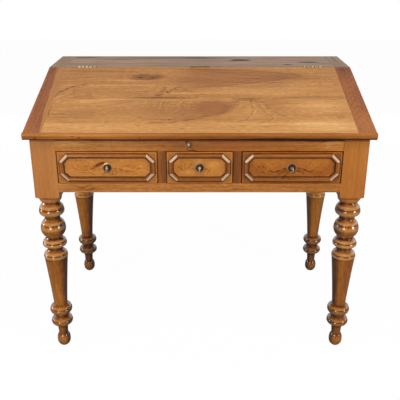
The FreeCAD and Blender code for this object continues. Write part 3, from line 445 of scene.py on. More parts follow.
def walnutFinish(name, **changes):
    look = {**plainWalnut, **changes}
    finish, tree, shader = newFinish(name)
    spot = pieceSpot(tree)
    where = put(tree, "Mapping", {"Vector": spot, "Location": look["place"], "Rotation": look["turn"]},
                vector_type="TEXTURE").outputs[0]
    shifted = stretch(tree, where, (1.0, 1.0, 1.0), tuple(look["seed"] * step for step in look["seedStep"]))
    grain = {key: stretch(tree, shifted, scale) for key, scale in walnutGrain.items()}

    # ragged places for marks, so that no oval is a clean one
    strayBy = (look["ragged"] * look["strayLong"], look["ragged"], look["ragged"])
    stray = cloud(tree, grain["stray"], detail=3.0, output="Color")
    stray = stretch(tree, stray, strayBy, tuple(-0.5 * value for value in strayBy))
    uneven = steer(tree, "MULTIPLY_ADD", stray, (look["loopStray"],) * 3, where)
    ragged = steer(tree, "ADD", stray, where)

    # growth rings
    _, y, z = parted(tree, where)
    across = calc(tree, "MULTIPLY_ADD", z, look["ringTilt"], y)
    phase = calc(tree, "DIVIDE", across, look["ringWidth"])
    phase = calc(tree, "MULTIPLY_ADD", cloud(tree, grain["sway"]), look["wander"] * 2.0, phase)
    for *form, push in look["pushes"]:
        phase = calc(tree, "MULTIPLY_ADD", oval(tree, ragged, *form, soft=1.0), push, phase)
    late = calc(tree, "POWER", calc(tree, "FRACT", phase), look["lateWood"])
    tone = calc(tree, "MULTIPLY_ADD", late, -look["ringDepth"],
                look["tone"] + look["ringDepth"] * look["ringLift"])

    # streaks, fibre and clouds of colour, then the marks that were drawn for this piece
    fields = {
        "streaks": cloud(tree, grain["streaks"], detail=3.0, roughness=0.6),
        "fibre": cloud(tree, grain["fibre"], roughness=0.6),
        "cloudy": cloud(tree, grain["cloudy"], detail=3.0),
        "mottle": cloud(tree, grain["mottle"], detail=3.0, roughness=0.6),
    }
    for key, field in fields.items():
        tone = calc(tree, "MULTIPLY_ADD", calc(tree, "SUBTRACT", field, 0.5), look[key] * 2.0, tone)
    tone = drawMarks(tree, tone, ragged, look["marks"])
    for level, soft, amount in look["bands"]:
        height = parted(tree, ragged)[1]
        band = ease(tree, height, (level - soft) / 1000, (level + soft) / 1000, amount, 0.0)
        tone = calc(tree, "ADD", tone, band)
    for loop in look["loops"]:
        tone = calc(tree, "ADD", tone, loopLines(tree, uneven, **loop))
    if look["lens"]:
        lens = heartLens(tree, ragged, look["lens"])
        tone = calc(tree, "MULTIPLY_ADD", lens, look["lens"]["depth"], tone)
    # dirt and painted shade along the moulding's edges, and a painted highlight on its crest
    if look["octagon"]:
        foot, onCorner = mouldingShade(tree, spot, look["octagon"])
        tone = calc(tree, "ADD", tone, foot)
    # painted shade on the sides that face inwards
    if look["inwards"]:
        normal = put(tree, "NewGeometry").outputs["Normal"]
        facing = put(tree, "VectorTransform", {0: normal}, vector_type="NORMAL",
                     convert_from="WORLD", convert_to="OBJECT").outputs[0]
        inner = calc(tree, "MULTIPLY", parted(tree, facing)[0], look["inwards"])
        inner = ease(tree, inner, *look["innerSpan"], 0.0, look["innerTone"])
        tone = calc(tree, "ADD", tone, inner)

    # open pores, short dark dashes along the grain
    pore = span(tree, cloud(tree, grain["pores"], detail=1.0), *look["poreSpan"], 0.0, 1.0)
    tone = calc(tree, "MULTIPLY_ADD", pore, -look["pores"], tone)

    # soft arrises, rubbed paler where hands and cloths reach
    softNormal = softArris(tree, look["edge"])
    trueNormal = put(tree, "NewGeometry").outputs["True Normal"]
    paleBand = span(tree, steer(tree, "DOT_PRODUCT", softNormal, trueNormal), *look["edgeSpan"], 0.0, 1.0)
    tone = calc(tree, "MULTIPLY_ADD", paleBand, look["edgeTone"], tone)

    colour = shades(tree, tone, look["shades"])
    if look["lens"]:
        colour = mixed(tree, calc(tree, "MULTIPLY", lens, look["lens"]["blush"]), colour, look["blush"])
    # painted highlight on the strips across the corners
    if look["octagon"]:
        colour = mixed(tree, onCorner, colour, mouldingForm["corners"])
    for patches, patchColour in (("blushes", "blush"), ("creams", "cream")):
        for *form, amount in look[patches]:
            share = calc(tree, "MULTIPLY", oval(tree, ragged, *form), amount)
            colour = mixed(tree, share, colour, look[patchColour])

    smoothest = look["roughness"] - look["roughClouds"] / 2
    rough = calc(tree, "MULTIPLY_ADD", fields["cloudy"], look["roughClouds"], smoothest)
    rough = calc(tree, "MULTIPLY_ADD", fields["fibre"], look["roughFibre"], rough)
    height = calc(tree, "MULTIPLY_ADD", fields["streaks"], look["streakRelief"], fields["fibre"])
    height = calc(tree, "MULTIPLY_ADD", pore, -look["poreRelief"], height)
    gloss = look["gloss"]
    if look["dulled"]:
        gloss = span(tree, tone, look["tone"] - 0.5, look["tone"], gloss * (1.0 - look["dulled"]), gloss)
    feed(tree, shader, {
        "Base Color": colour, "Roughness": rough, "Specular IOR Level": gloss,
        "Normal": bumped(tree, look["relief"], look["reliefDepth"], height, softNormal),
        "Coat Normal": softNormal, "Coat IOR": look["coatIndex"], "Coat Weight": look["coat"],
        "Coat Roughness": coatRoughness,
    })
    return finish


# Sloped lid, x along the front and y up the slope from lidZero, in millimetres

lowerBoard = {
    "place": lidZero, "turn": lidGrainAcross, "seed": 1.0, "tone": 0.63,
    "ringWidth": 0.030, "ringDepth": 0.06, "wander": 1.3, "streaks": 0.19, "fibre": 0.19, "mottle": 0.25,
    "bands": [(56, 5, 0.10)],
    "loops": [
        {"arms": [(0.25, 0.97, 210, 23), (0.10, -0.99, -62, 23)], "bend": 0.5, "width": 0.10,
         "depth": -0.10, "patch": (360, 110, 110, 60, 0, 0.5)},
        {"arms": [(1.0, -0.12, -82, 13), (0.38, -0.92, -134, 9)], "bend": 1.3, "width": 0.3,
         "depth": -0.06, "patch": (-90, 150, 150, 60, 0, 0.6)},
    ],
    "pushes": [(45, 172, 210, 105, 0, 3.0), (-330, 150, 150, 60, 0, 1.5)],
    "marks": [
        (42, 150, 70, 66, 0, 0.6, -0.15), (90, 150, 26, 60, -32, 0.8, -0.14),
        (-20, 140, 70, 50, 0, 0.9, -0.06),
        *strokes([(-160, 55), (-100, 58), (-60, 64), (-9, 82), (39, 107), (80, 124)], 10, 0.85, -0.16),
        *strokes([(-60, 76), (-5, 96), (40, 118)], 16, 0.9, -0.06),
        (-90, 130, 130, 62, 0, 0.9, -0.07), (150, 198, 66, 12, 0, 0.9, -0.22),
        (150, 203, 46, 4, 0, 0.9, -0.12), (116, 184, 26, 12, 40, 0.9, -0.12),
        (230, 196, 60, 8, 0, 0.9, -0.10), (215, 160, 30, 26, -40, 0.9, -0.05),
        (150, 140, 20, 40, 0, 0.9, 0.05), (-415, 90, 60, 2.6, 0, 0.9, -0.30),
        (-410, 106, 60, 2.2, 0, 0.9, -0.16), (-425, 74, 48, 2.4, 0, 0.9, -0.24),
        (-400, 62, 75, 2.0, 0, 0.9, -0.14), (-300, 100, 90, 2.2, 1, 0.9, -0.08),
        (-330, 80, 130, 2.6, 0, 0.9, -0.10), (-300, 130, 150, 22, 0, 0.9, -0.05),
        (-354, 186, 90, 14, 3, 0.7, 0.14), (-270, 198, 60, 8, 0, 0.8, 0.12),
        (-440, 186, 14, 6, 20, 0.9, 0.16), (-290, 120, 10, 34, -40, 0.9, 0.06),
        (370, 150, 140, 56, 0, 0.9, 0.20), (390, 50, 200, 60, 0, 0.9, 0.18), (170, 120, 44, 40, 0, 0.7, 0.05),
        (-330, 160, 190, 60, 0, 0.9, 0.06), (416, 147, 14, 10, 0, 0.9, -0.16),
        (424, 140, 8, 8, 30, 0.9, -0.12), (426, 96, 20, 4, -14, 0.9, -0.14),
        (422, 86, 3.4, 16, 4, 0.9, -0.16), (433, 88, 3.0, 14, 10, 0.9, -0.13),
        (428, 92, 22, 18, 0, 0.9, -0.07), (345, 168, 40, 16, 0, 0.9, 0.05), (-178, 39, 11, 4, 0, 0.9, -0.34),
        (-50, 23, 14, 2.6, -4, 0.9, -0.40), (-48, 107, 5, 5, 0, 0.8, -0.44), (-92, 73, 7, 5, 0, 0.9, -0.36),
        (-280, 60, 3, 3, 0, 0.9, -0.4), (-190, 52, 3, 2, 0, 0.9, -0.4), (-120, 205, 150, 2.6, 0, 0.6, -0.40),
        (240, 206, 260, 2.0, 0, 0.6, -0.14), (-340, 206, 110, 2.0, 0, 0.6, -0.20),
        (-457, 125, 2.2, 48, 3, 0.8, -0.40),
        *strokes([(160, 196), (163, 173), (169, 137), (157, 96), (131, 70), (96, 59)], 5.0, 0.9, -0.16),
        *strokes([(172, 196), (184, 173), (196, 137), (210, 102), (220, 87)], 4.6, 0.9, -0.17),
        *strokes([(220, 87), (205, 68), (169, 49), (108, 40)], 5.2, 0.9, -0.14),
        *strokes([(188, 190), (202, 173), (226, 127), (250, 102), (273, 77)], 4.4, 0.9, -0.16),
        *strokes([(273, 77), (251, 56), (218, 40), (180, 32)], 5.0, 0.9, -0.13),
        *strokes([(240, 118), (263, 97), (290, 73), (260, 49), (229, 35)], 4.4, 0.9, -0.12),
        *strokes([(136, 160), (131, 140), (124, 122), (112, 108)], 4.4, 0.9, -0.10),
        *strokes([(127, 178), (108, 152), (98, 118), (85, 97)], 3.2, 0.9, -0.15),
        *strokes([(168, 178), (175, 137), (164, 96), (138, 70)], 5.0, 0.9, 0.14),
        *strokes([(192, 173), (204, 137), (218, 104), (229, 87)], 5.0, 0.9, 0.13),
        *strokes([(261, 152), (302, 127), (337, 109), (375, 107), (441, 102)], 2.6, 0.9, 0.10),
        *strokes([(311, 102), (346, 84), (380, 86), (410, 92)], 2.2, 0.9, -0.11),
        *strokes([(229, 87), (214, 60), (176, 40), (120, 30)], 5.0, 0.9, 0.10),
        *strokes([(236, 127), (260, 102), (283, 77), (262, 50)], 4.6, 0.9, 0.10),
        *strokes([(-192, 190), (-202, 172), (-214, 154)], 2.4, 0.9, 0.16),
        *strokes([(-161, 193), (-174, 171), (-176, 146)], 2.8, 0.9, 0.15),
        *strokes([(-132, 193), (-142, 166), (-140, 142), (-153, 127)], 2.4, 0.9, 0.17),
        *strokes([(-113, 190), (-122, 165), (-118, 132), (-133, 116)], 3.0, 0.9, 0.16),
        *strokes([(-80, 193), (-96, 155), (-97, 132), (-105, 114)], 2.6, 0.9, 0.18),
        *strokes([(-59, 193), (-63, 169), (-60, 138), (-76, 114), (-103, 102)], 3.2, 0.9, 0.19),
        *strokes([(-28, 193), (-31, 159), (-42, 124)], 2.6, 0.9, 0.12),
        *strokes([(-152, 190), (-165, 168), (-166, 142)], 3.4, 0.9, -0.10),
        *strokes([(-104, 190), (-112, 162), (-109, 130), (-124, 112)], 3.6, 0.9, -0.09),
        *strokes([(-50, 190), (-55, 165), (-51, 134), (-68, 106)], 3.6, 0.9, -0.10),
    ],
    "blushes": [
        (42, 150, 88, 66, 0, 0.7, 0.55), (-100, 120, 200, 60, 0, 0.9, 0.3), (-340, 110, 120, 45, 0, 0.9, 0.3),
        (0, 110, 110, 52, 16, 0.8, 0.4), (230, 180, 110, 24, 0, 0.9, 0.3),
    ],
}
upperBoard = {
    "place": lidZero, "turn": lidGrainAcross, "seed": 4.0, "tone": 0.59,
    "ringWidth": 0.030, "ringDepth": 0.06, "wander": 1.3, "streaks": 0.24, "fibre": 0.19, "mottle": 0.25,
    "loops": [
        {"arms": [(0.20, 0.98, 420, 30), (0.26, -0.96, -230, 21)], "bend": 0.5, "width": 0.12,
         "depth": -0.08, "patch": (130, 345, 225, 72, 0, 0.3)},
        {"arms": [(0.55, 0.84, 500, 19), (0.55, -0.84, -60, 19)], "bend": 0.7, "width": 0.14,
         "depth": -0.10, "patch": (390, 340, 66, 44, 0, 0.5)},
    ],
    "pushes": [(-190, 345, 90, 50, 0, 2.5), (-110, 256, 60, 40, 20, 2.0)],
    "marks": [
        (-176, 348, 64, 27, 0, 0.5, -0.19), (-192, 346, 44, 22, 0, 0.25, -0.06),
        (-194, 346, 28, 14, 0, 0.3, 0.07), (-196, 346, 15, 8, 0, 0.4, -0.12),
        (-146, 350, 24, 20, 20, 0.9, -0.22), (-128, 352, 18, 22, 0, 0.9, -0.12),
        (-194, 345, 5, 4, 0, 0.9, -0.20), (-200, 318, 70, 8, 3, 0.8, 0.12), (-120, 330, 20, 20, 0, 0.9, 0.06),
        *strokes([(-240, 348), (-222, 332), (-190, 326), (-150, 328)], 3.0, 0.9, -0.14),
        *strokes([(-236, 356), (-205, 372), (-160, 374), (-118, 366)], 3.0, 0.9, -0.12),
        (-126, 226, 26, 18, 30, 0.9, -0.22), (-112, 256, 22, 26, 0, 0.9, -0.10),
        *strokes([(-122, 273), (-110, 278), (-110, 258), (-104, 241)], 3.4, 0.9, -0.34),
        *strokes([(-104, 241), (-96, 241), (-86, 264), (-72, 279), (-52, 282)], 3.2, 0.9, -0.38),
        *strokes([(-87, 261), (-60, 258), (-34, 255)], 3.0, 0.9, -0.30),
        (-101, 243, 9, 6, 20, 0.9, -0.30),
        *strokes([(-106, 270), (-111, 250), (-105, 238)], 3.4, 0.9, 0.34),
        (-92, 249, 6, 6, 0, 0.9, 0.30), (-60, 236, 70, 14, 0, 0.8, 0.12),
        *strokes([(-464, 210), (-450, 239), (-434, 259), (-420, 275), (-398, 290), (-370, 300)],
                 4.2, 0.9, -0.30),
        *strokes([(-434, 259), (-420, 275), (-403, 287)], 8.0, 0.9, -0.10),
        *strokes([(-406, 240), (-398, 266), (-384, 287), (-366, 298)], 3.2, 0.9, -0.22),
        *strokes([(-426, 216), (-404, 222), (-392, 236)], 3.0, 0.9, -0.18),
        *strokes([(-455, 213), (-443, 217), (-434, 226), (-426, 218)], 4.0, 0.9, 0.26),
        (-428, 292, 34, 16, 20, 0.9, 0.12), (-416, 244, 22, 14, 40, 0.9, 0.10),
        (-410, 217, 14, 3.4, 12, 0.9, 0.22), (-430, 226, 5, 5, 0, 0.9, -0.24),
        (-333, 224, 3, 18, 26, 0.8, 0.16), (-338, 220, 16, 8, 0, 0.9, -0.12),
        (-300, 292, 110, 9, 2, 0.8, 0.12), (-250, 322, 90, 7, 2, 0.8, 0.10), (-310, 345, 60, 7, 0, 0.8, 0.06),
        (-280, 262, 100, 10, 0, 0.9, -0.05), (-180, 290, 90, 10, 0, 0.9, 0.08),
        (-230, 236, 90, 7, 0, 0.9, -0.05), (190, 248, 330, 30, 2, 0.7, 0.14),
        (330, 290, 130, 40, 6, 0.9, 0.08), (380, 385, 100, 30, 0, 0.9, 0.05),
        (346, 235, 10, 2.4, -50, 0.8, -0.30), (352, 228, 10, 2.4, -40, 0.8, 0.26),
        (-120, 210, 150, 2.6, 0, 0.6, -0.42), (240, 210, 260, 2.0, 0, 0.6, -0.14),
        (-340, 210, 110, 2.0, 0, 0.6, -0.20),
        *strokes([(-10, 300), (60, 318), (150, 334), (250, 346)], 4.0, 0.9, -0.09),
        *strokes([(40, 352), (110, 360), (200, 358), (300, 352)], 3.4, 0.9, -0.10),
        *strokes([(20, 384), (120, 386), (220, 376)], 3.4, 0.9, -0.08),
        *strokes([(60, 296), (160, 310), (240, 330)], 5.0, 0.9, 0.05),
    ],
    "lens": {"tip": (352, 360), "tilt": 0.058, "round": 17.0, "soft": 14, "fade": (-120, 40), "gap": 15.0,
             "between": 0.55, "depth": -0.13, "blush": 0.6},
    "blushes": [
        (-135, 352, 40, 28, 0, 0.8, 0.6), (-362, 218, 45, 10, 4, 0.8, 0.6),
        (-330, 390, 160, 24, 0, 0.9, 0.3), (-40, 340, 120, 60, 0, 0.9, 0.3),
    ],
}
caseShades = [
    (0.00, tint(44, 18, 6)), (0.22, tint(98, 50, 18)), (0.45, tint(152, 90, 36)),
    (0.65, tint(184, 117, 52)), (0.85, tint(206, 141, 72)), (1.00, tint(226, 170, 100)),
]
cleatShades = [
    (0.00, tint(48, 22, 11)), (0.25, tint(104, 56, 30)), (0.50, tint(160, 94, 51)),
    (0.75, tint(188, 118, 64)), (1.00, tint(216, 152, 92)),
]
cleatMiddle = 0.4875     # metres from the desk's middle
leftCleat = {
    "place": (-cleatMiddle, *lidZero[1:]), "turn": lidGrainDown, "seed": 7.0, "shades": cleatShades,
    "tone": 0.54, "ringWidth": 0.012, "ringDepth": 0.10, "streaks": 0.14, "mottle": 0.2, "fibre": 0.2,
    "blush": tint(198, 136, 76),
    "marks": [
        (200, 14, 260, 14, 0, 0.9, -0.07), (262, 26, 7, 5, 40, 0.8, -0.5), (400, 8, 70, 30, 0, 0.9, -0.08),
        (60, 20, 60, 3, 0, 0.8, 0.10),
    ],
    "blushes": [(220, -22, 300, 15, 2, 0.25, 0.75), (420, -10, 90, 15, 0, 0.4, 0.45)],
}
rightCleat = {
    "place": (cleatMiddle, *lidZero[1:]), "turn": lidGrainDown, "seed": 11.0, "shades": cleatShades,
    "tone": 0.55, "ringWidth": 0.012, "ringDepth": 0.08, "wander": 1.0,
    "streaks": 0.12, "mottle": 0.24, "fibre": 0.2,
    "loops": [
        {"arms": [(0.45, 0.89, 60, 14), (0.45, -0.89, 60, 14)], "bend": 1.2, "width": 0.24,
         "depth": -0.14, "patch": (175, 0, 150, 40, 0, 0.4)},
        {"arms": [(-0.6, 0.8, -200, 17), (-0.6, -0.8, -200, 17)], "bend": 1.2, "width": 0.24,
         "depth": -0.13, "patch": (370, 0, 80, 40, 0, 0.5)},
    ],
    "marks": [
        (62, -26, 16, 4, 10, 0.6, 0.5), (60, 0, 120, 40, 0, 0.9, 0.08), (400, 0, 110, 40, 0, 0.9, -0.12),
        (130, 22, 60, 6, 0, 0.9, 0.06),
    ],
}
lidNosing = {
    "place": (0.0, -0.318, 0.7405), "turn": faceFront, "seed": 13.0, "shades": caseShades,
    "tone": 0.61, "roughness": 0.28, "ringWidth": 0.009, "ringDepth": 0.06, "streaks": 0.14, "ragged": 0.002,
    # the long dark marks 1.5 and 2 mm up darken the lower edge as painted shade; the pale line along the top
    # at the left is wear and a painted highlight
    "marks": [
        (-348, 10, 8, 3, 0, 0.9, -0.44), (-366, 14, 7, 2.4, 0, 0.9, -0.40), (-172, 9, 5, 3, 0, 0.9, -0.34),
        (-330, 15, 210, 3, 0, 0.8, 0.16), (60, 8, 300, 30, 0, 0.9, -0.14), (-475, 8, 4, 4, 0, 0.9, -0.4),
        (340, 8, 200, 30, 0, 0.9, -0.12), (0, 1.5, 3000, 5.6, 0, 0.5, -0.42), (0, 9, 3000, 6, 0, 0.9, -0.06),
        (300, 2, 330, 8.6, 0, 0.5, -0.30), (210, 8, 60, 4, 0, 0.9, -0.10), (300, 6, 9, 3, 0, 0.9, -0.22),
        (458, 9, 4, 3, 0, 0.9, -0.34), (-420, 6, 60, 5, 0, 0.9, 0.06),
    ],
}
shelfShades = [
    (0.00, tint(46, 29, 19)), (0.25, tint(94, 64, 42)), (0.50, tint(144, 101, 64)),
    (0.75, tint(168, 123, 80)), (1.00, tint(196, 150, 104)),
]
shelfBoard = {
    "place": (0.0, 0.0, 0.877), "seed": 17.0, "shades": shelfShades, "tone": 0.70, "ringWidth": 0.03,
    "ringDepth": 0.22, "streaks": 0.72, "cloudy": 0.42, "mottle": 0.26,
    "roughness": 0.42, "gloss": 0.42, "dulled": 0.9,
    "marks": [
        (153, 235, 46, 22, 0, 0.5, -0.66), (118, 222, 30, 9, 0, 0.8, -0.44),
        (386, 193, 55, 18, 0, 0.7, -0.60), (308, 146, 26, 16, 0, 0.8, -0.56),
        (-120, 285, 330, 26, 0, 0.8, -0.46), (-420, 292, 90, 22, 0, 0.8, -0.52),
        (-300, 245, 120, 12, 0, 0.9, -0.22), (20, 262, 90, 14, 0, 0.9, -0.24),
        (-60, 190, 160, 10, 0, 0.9, -0.14), (260, 260, 80, 20, 0, 0.9, -0.12),
    ],
}
shelfEnd = {"place": (0.0, 0.0, 0.877), "turn": grainBack, "seed": 19.0, "shades": shelfShades, "tone": 0.58,
            "gloss": 0.38, "dulled": 0.8, "streaks": 0.5}

dress(walnutFinish("lidLowerBoardWalnut", **lowerBoard), "lid_board_lower")
dress(walnutFinish("lidUpperBoardWalnut", **upperBoard), "lid_board_upper")
dress(walnutFinish("lidLeftCleatWalnut", **leftCleat), "lid_end_left")
dress(walnutFinish("lidRightCleatWalnut", **rightCleat), "lid_end_right")
dress(walnutFinish("lidNosingWalnut", **lidNosing), "lid_front_nosing")
dress(walnutFinish("shelfWalnut", **shelfBoard), "top_board")
dress(walnutFinish("shelfEndWalnut", **shelfEnd), "top_end_left", "top_end_right")
print("lid and shelf finished")


# Case: rails, dividers, panels and turned legs

topRail = {
    "place": (0.0, deskFront, 0.702), "turn": faceFront, "seed": 23.0, "shades": caseShades,
    "tone": 0.66, "ringWidth": 0.013, "ringDepth": 0.10, "ragged": 0.004,
    "streaks": 0.24, "mottle": 0.24, "fibre": 0.2,
    "marks": [
        (-390, 25, 90, 24, 0, 0.9, 0.12), (20, 20, 220, 50, 0, 0.9, -0.06), (390, 22, 60, 18, 8, 0.8, 0.14),
        # the long dark bands 35.5 and 33.5 mm up are a painted shadow of the lid's nosing
        (0, 35.5, 3000, 6, 0, 0.6, -0.43), (270, 33.5, 330, 6, 0, 0.7, -0.26), (-36, 29, 7, 6, 0, 0.6, -0.5),
        (370, 30, 40, 2.4, 16, 0.8, -0.16), (400, 18, 30, 2.4, 14, 0.8, -0.16),
        (-426, 20, 1.6, 60, 0, 0.5, -0.34), (426, 20, 1.6, 60, 0, 0.5, -0.34),
        (-330, 24, 60, 2.4, -10, 0.9, -0.12), (-300, 34, 50, 2.0, -8, 0.9, -0.10),
    ],
    "blush": tint(158, 84, 36),
    "blushes": [(60, 16, 330, 40, 0, 0.9, 0.5)],
}
bottomRail = {
    "place": (0.0, deskFront, 0.571), "turn": faceFront, "seed": 29.0, "shades": caseShades,
    "tone": 0.62, "ringWidth": 0.012, "streaks": 0.26, "ringDepth": 0.10, "mottle": 0.28, "fibre": 0.2,
    "marks": [
        (-360, 14, 40, 3, -24, 0.8, -0.26), (-345, 16, 30, 3, 24, 0.8, -0.22),
        (-320, 12, 34, 5, 18, 0.9, -0.18), (-250, 8, 3, 3, 0, 0.8, -0.4), (-60, 14, 60, 2.6, -10, 0.9, -0.12),
        (120, 12, 80, 3, 6, 0.9, -0.10), (-20, 14, 190, 60, 0, 0.9, -0.09),
    ],
}
divider = {"place": (0.0, deskFront, 0.6), "turn": grainUp, "seed": 31.0, "shades": caseShades, "tone": 0.38,
           "streaks": 0.14}
rightDivider = {**divider, "tone": 0.25, "seed": 33.0}
sidePanel = {
    "place": (0.5, 0.0, 0.6), "turn": (math.pi / 2, 0.0, math.pi / 2), "seed": 37.0, "shades": caseShades,
    "tone": 0.52, "ringWidth": 0.02, "pushes": [(60, 60, 160, 70, 0, 5.0)],
}
backPanel = {
    "place": (0.0, 0.3, 0.6), "turn": faceFront, "seed": 41.0, "shades": caseShades,
    "tone": 0.42, "ringWidth": 0.026, "roughness": 0.55,
    "pushes": [(-150, 100, 300, 90, 0, 6.0), (300, 60, 200, 60, 0, 4.0)],
}
legShades = [
    (0.00, tint(38, 14, 2)), (0.22, tint(94, 46, 8)), (0.45, tint(152, 87, 18)),
    (0.65, tint(186, 115, 32)), (0.85, tint(210, 141, 54)), (1.00, tint(232, 172, 88)),
]
grooveDirtAndShade = [      # height, reach and depth of the dirt and painted shade in each groove
    (549, 4, -0.34), (529, 4, -0.30), (507, 3, -0.20), (476, 8, -0.16), (454, 3, -0.20), (407, 6, -0.36),
    (392, 3, -0.18), (369, 9, -0.18), (348, 2.6, -0.18), (334, 3, -0.10), (160, 5, -0.22), (148, 3, -0.18),
    (117, 8, -0.18), (102, 3, -0.18), (77, 5, -0.24), (45, 4, -0.16),
]
crestSheenAndWear = [    # the same of the painted sheen on the crests, which is also wear where hands reach
    (540, 9, 0.26), (515, 6, 0.12), (494, 10, 0.16), (460, 5, 0.12), (443, 9, 0.12), (397, 4, 0.14),
    (384, 7, 0.18), (354, 5, 0.12), (342, 6, 0.18), (152, 5, 0.05), (140, 9, 0.05), (106, 4, 0.05),
    (94, 9, 0.05), (30, 10, 0.04),
]
legCream = 2.2      # how much more the cream colour shows on the crests' painted sheen
turnedLeg = {
    "turn": grainUp, "shades": legShades, "tone": 0.53, "ringWidth": 0.011, "ringTilt": 0.8, "wander": 0.8,
    "ringDepth": 0.07, "streaks": 0.17, "fibre": 0.12, "mottle": 0.17, "pores": 0.12, "ragged": 0.0008,
    "roughness": 0.30, "gloss": 0.3, "coat": 1.0, "coatIndex": 1.8, "relief": 0.05,
    "edge": 0.0015, "edgeTone": 0.06,
    "marks": [       # shaft, block and low turnings, then dirt and painted shade in the grooves and painted sheen on the crests
        (300, 0, 120, 200, 0, 0.4, -0.03), (722, 0, 172, 400, 0, 0.03, 0.16), (95, 0, 75, 300, 0, 0.3, -0.07),
        *[(height, 0, reach, 300, 0, 0.8, amount) for height, reach, amount in crestSheenAndWear + grooveDirtAndShade],
    ],
    "blush": tint(188, 122, 74),
    "blushes": [(722, 0, 194, 400, 0, 0.02, 0.45)],      # block and collar are pinker
    # painted sheen on the crests, in cream
    "creams": [(height, 0, reach, 300, 0, 0.9, amount * legCream) for height, reach, amount in crestSheenAndWear[1:]],
}
rearLegTone = 0.60                                  # rear legs are painted paler, a painted light where the case shades them
rearFootShade = (70, 0, 150, 300, 0, 0.7, -0.20)     # and painted shade low down
nosingShade = (737, 0, 6, 400, 0, 0.6, -0.42)       # painted shadow of the lid's nosing on the front legs, close under the lid
legs = {
    "leg_front_left": {"place": (-0.463, -0.256, 0.0), "seed": 43.0},
    "leg_front_right": {"place": (0.463, -0.256, 0.0), "seed": 46.0, "blush": tint(180, 108, 50)},
    "leg_rear_left": {"place": (-0.463, 0.270, 0.0), "seed": 49.0, "tone": rearLegTone},
    "leg_rear_right": {"place": (0.463, 0.270, 0.0), "seed": 52.0, "tone": rearLegTone},
}
dress(walnutFinish("topRailWalnut", **topRail), "front_top_rail")
dress(walnutFinish("bottomRailWalnut", **bottomRail), "front_bottom_rail")
dress(walnutFinish("leftDividerWalnut", **divider), "drawer_divider_left")
dress(walnutFinish("rightDividerWalnut", **rightDivider), "drawer_divider_right")
dress(walnutFinish("sidePanelWalnut", **sidePanel), "side_panel_left", "side_panel_right")
dress(walnutFinish("backPanelWalnut", **backPanel), "back_panel")
for number, (leg, changes) in enumerate(legs.items()):
    look = {**turnedLeg, **changes, "inwards": -math.copysign(1.0, changes["place"][0])}
    look["marks"] = turnedLeg["marks"] + [rearFootShade if "rear" in leg else nosingShade]
    dress(walnutFinish("turnedLegWalnut" + str(number + 1), **look), leg)
print("case and legs finished")


# Drawers: burl veneer, walnut moulding, plain wood inside

burlShades = [
    (0.00, tint(46, 18, 4)), (0.25, tint(104, 53, 16)), (0.48, tint(160, 95, 36)),
    (0.70, tint(192, 122, 52)), (1.00, tint(222, 160, 82)),
]
burlRedShades = [
    (0.00, tint(48, 14, 2)), (0.25, tint(108, 45, 10)), (0.48, tint(164, 80, 22)),
    (0.70, tint(196, 104, 34)), (1.00, tint(224, 140, 60)),
]
burlVeneer = {
    "swirl": 13.0,          # figures in a metre
    "swirlDeep": 6.0,
    "swirlTall": 1.5,
    "swirlDepth": 0.4,
    "lines": 3.2,           # dark lines in a figure
    "lineSharp": 2.5,
    "looseScale": 5.0,      # slow drift of the figure, waves in a metre
    "loose": 0.02,          # and metres
    "shakeScale": 60.0,     # the same of the marks
    "shake": 0.006,
    "fineScale": (90.0, 60.0, 140.0),
    "fineDepth": 0.36,
    "eyes": 110.0,          # pips in a metre
    "strength": 1.7,
    "lineDepth": 0.09,
    "eyeDepth": 0.34,
    "eyeSpan": (0.10, 0.34),
    "lift": 0.03,           # evens out the dark lines
    "panelEdge": (-0.004, -0.003),      # the figure begins under the moulding
    "foot": 0.0026,         # dirt and painted shade inside the moulding, metres
    "footDepth": 0.40,
    "rim": 0.0030,          # dirt and painted shade along the drawer's edges
    "rimDepth": 0.52,
    "paleBand": 0.0066,       # paler line beside it
    "rubbedTone": 0.22,
    "margin": -0.13,        # the plain wood outside the moulding is darker
    "roughness": 0.30,
    "roughFine": 0.16,
    "coat": 0.25,
    "relief": 0.2,
    "reliefDepth": 0.0003,
    "edge": 0.0012,
}
drawerMiddle = {"left": -0.27525, "middle": 0.0, "right": 0.27525}
keyHeight = 0.65055
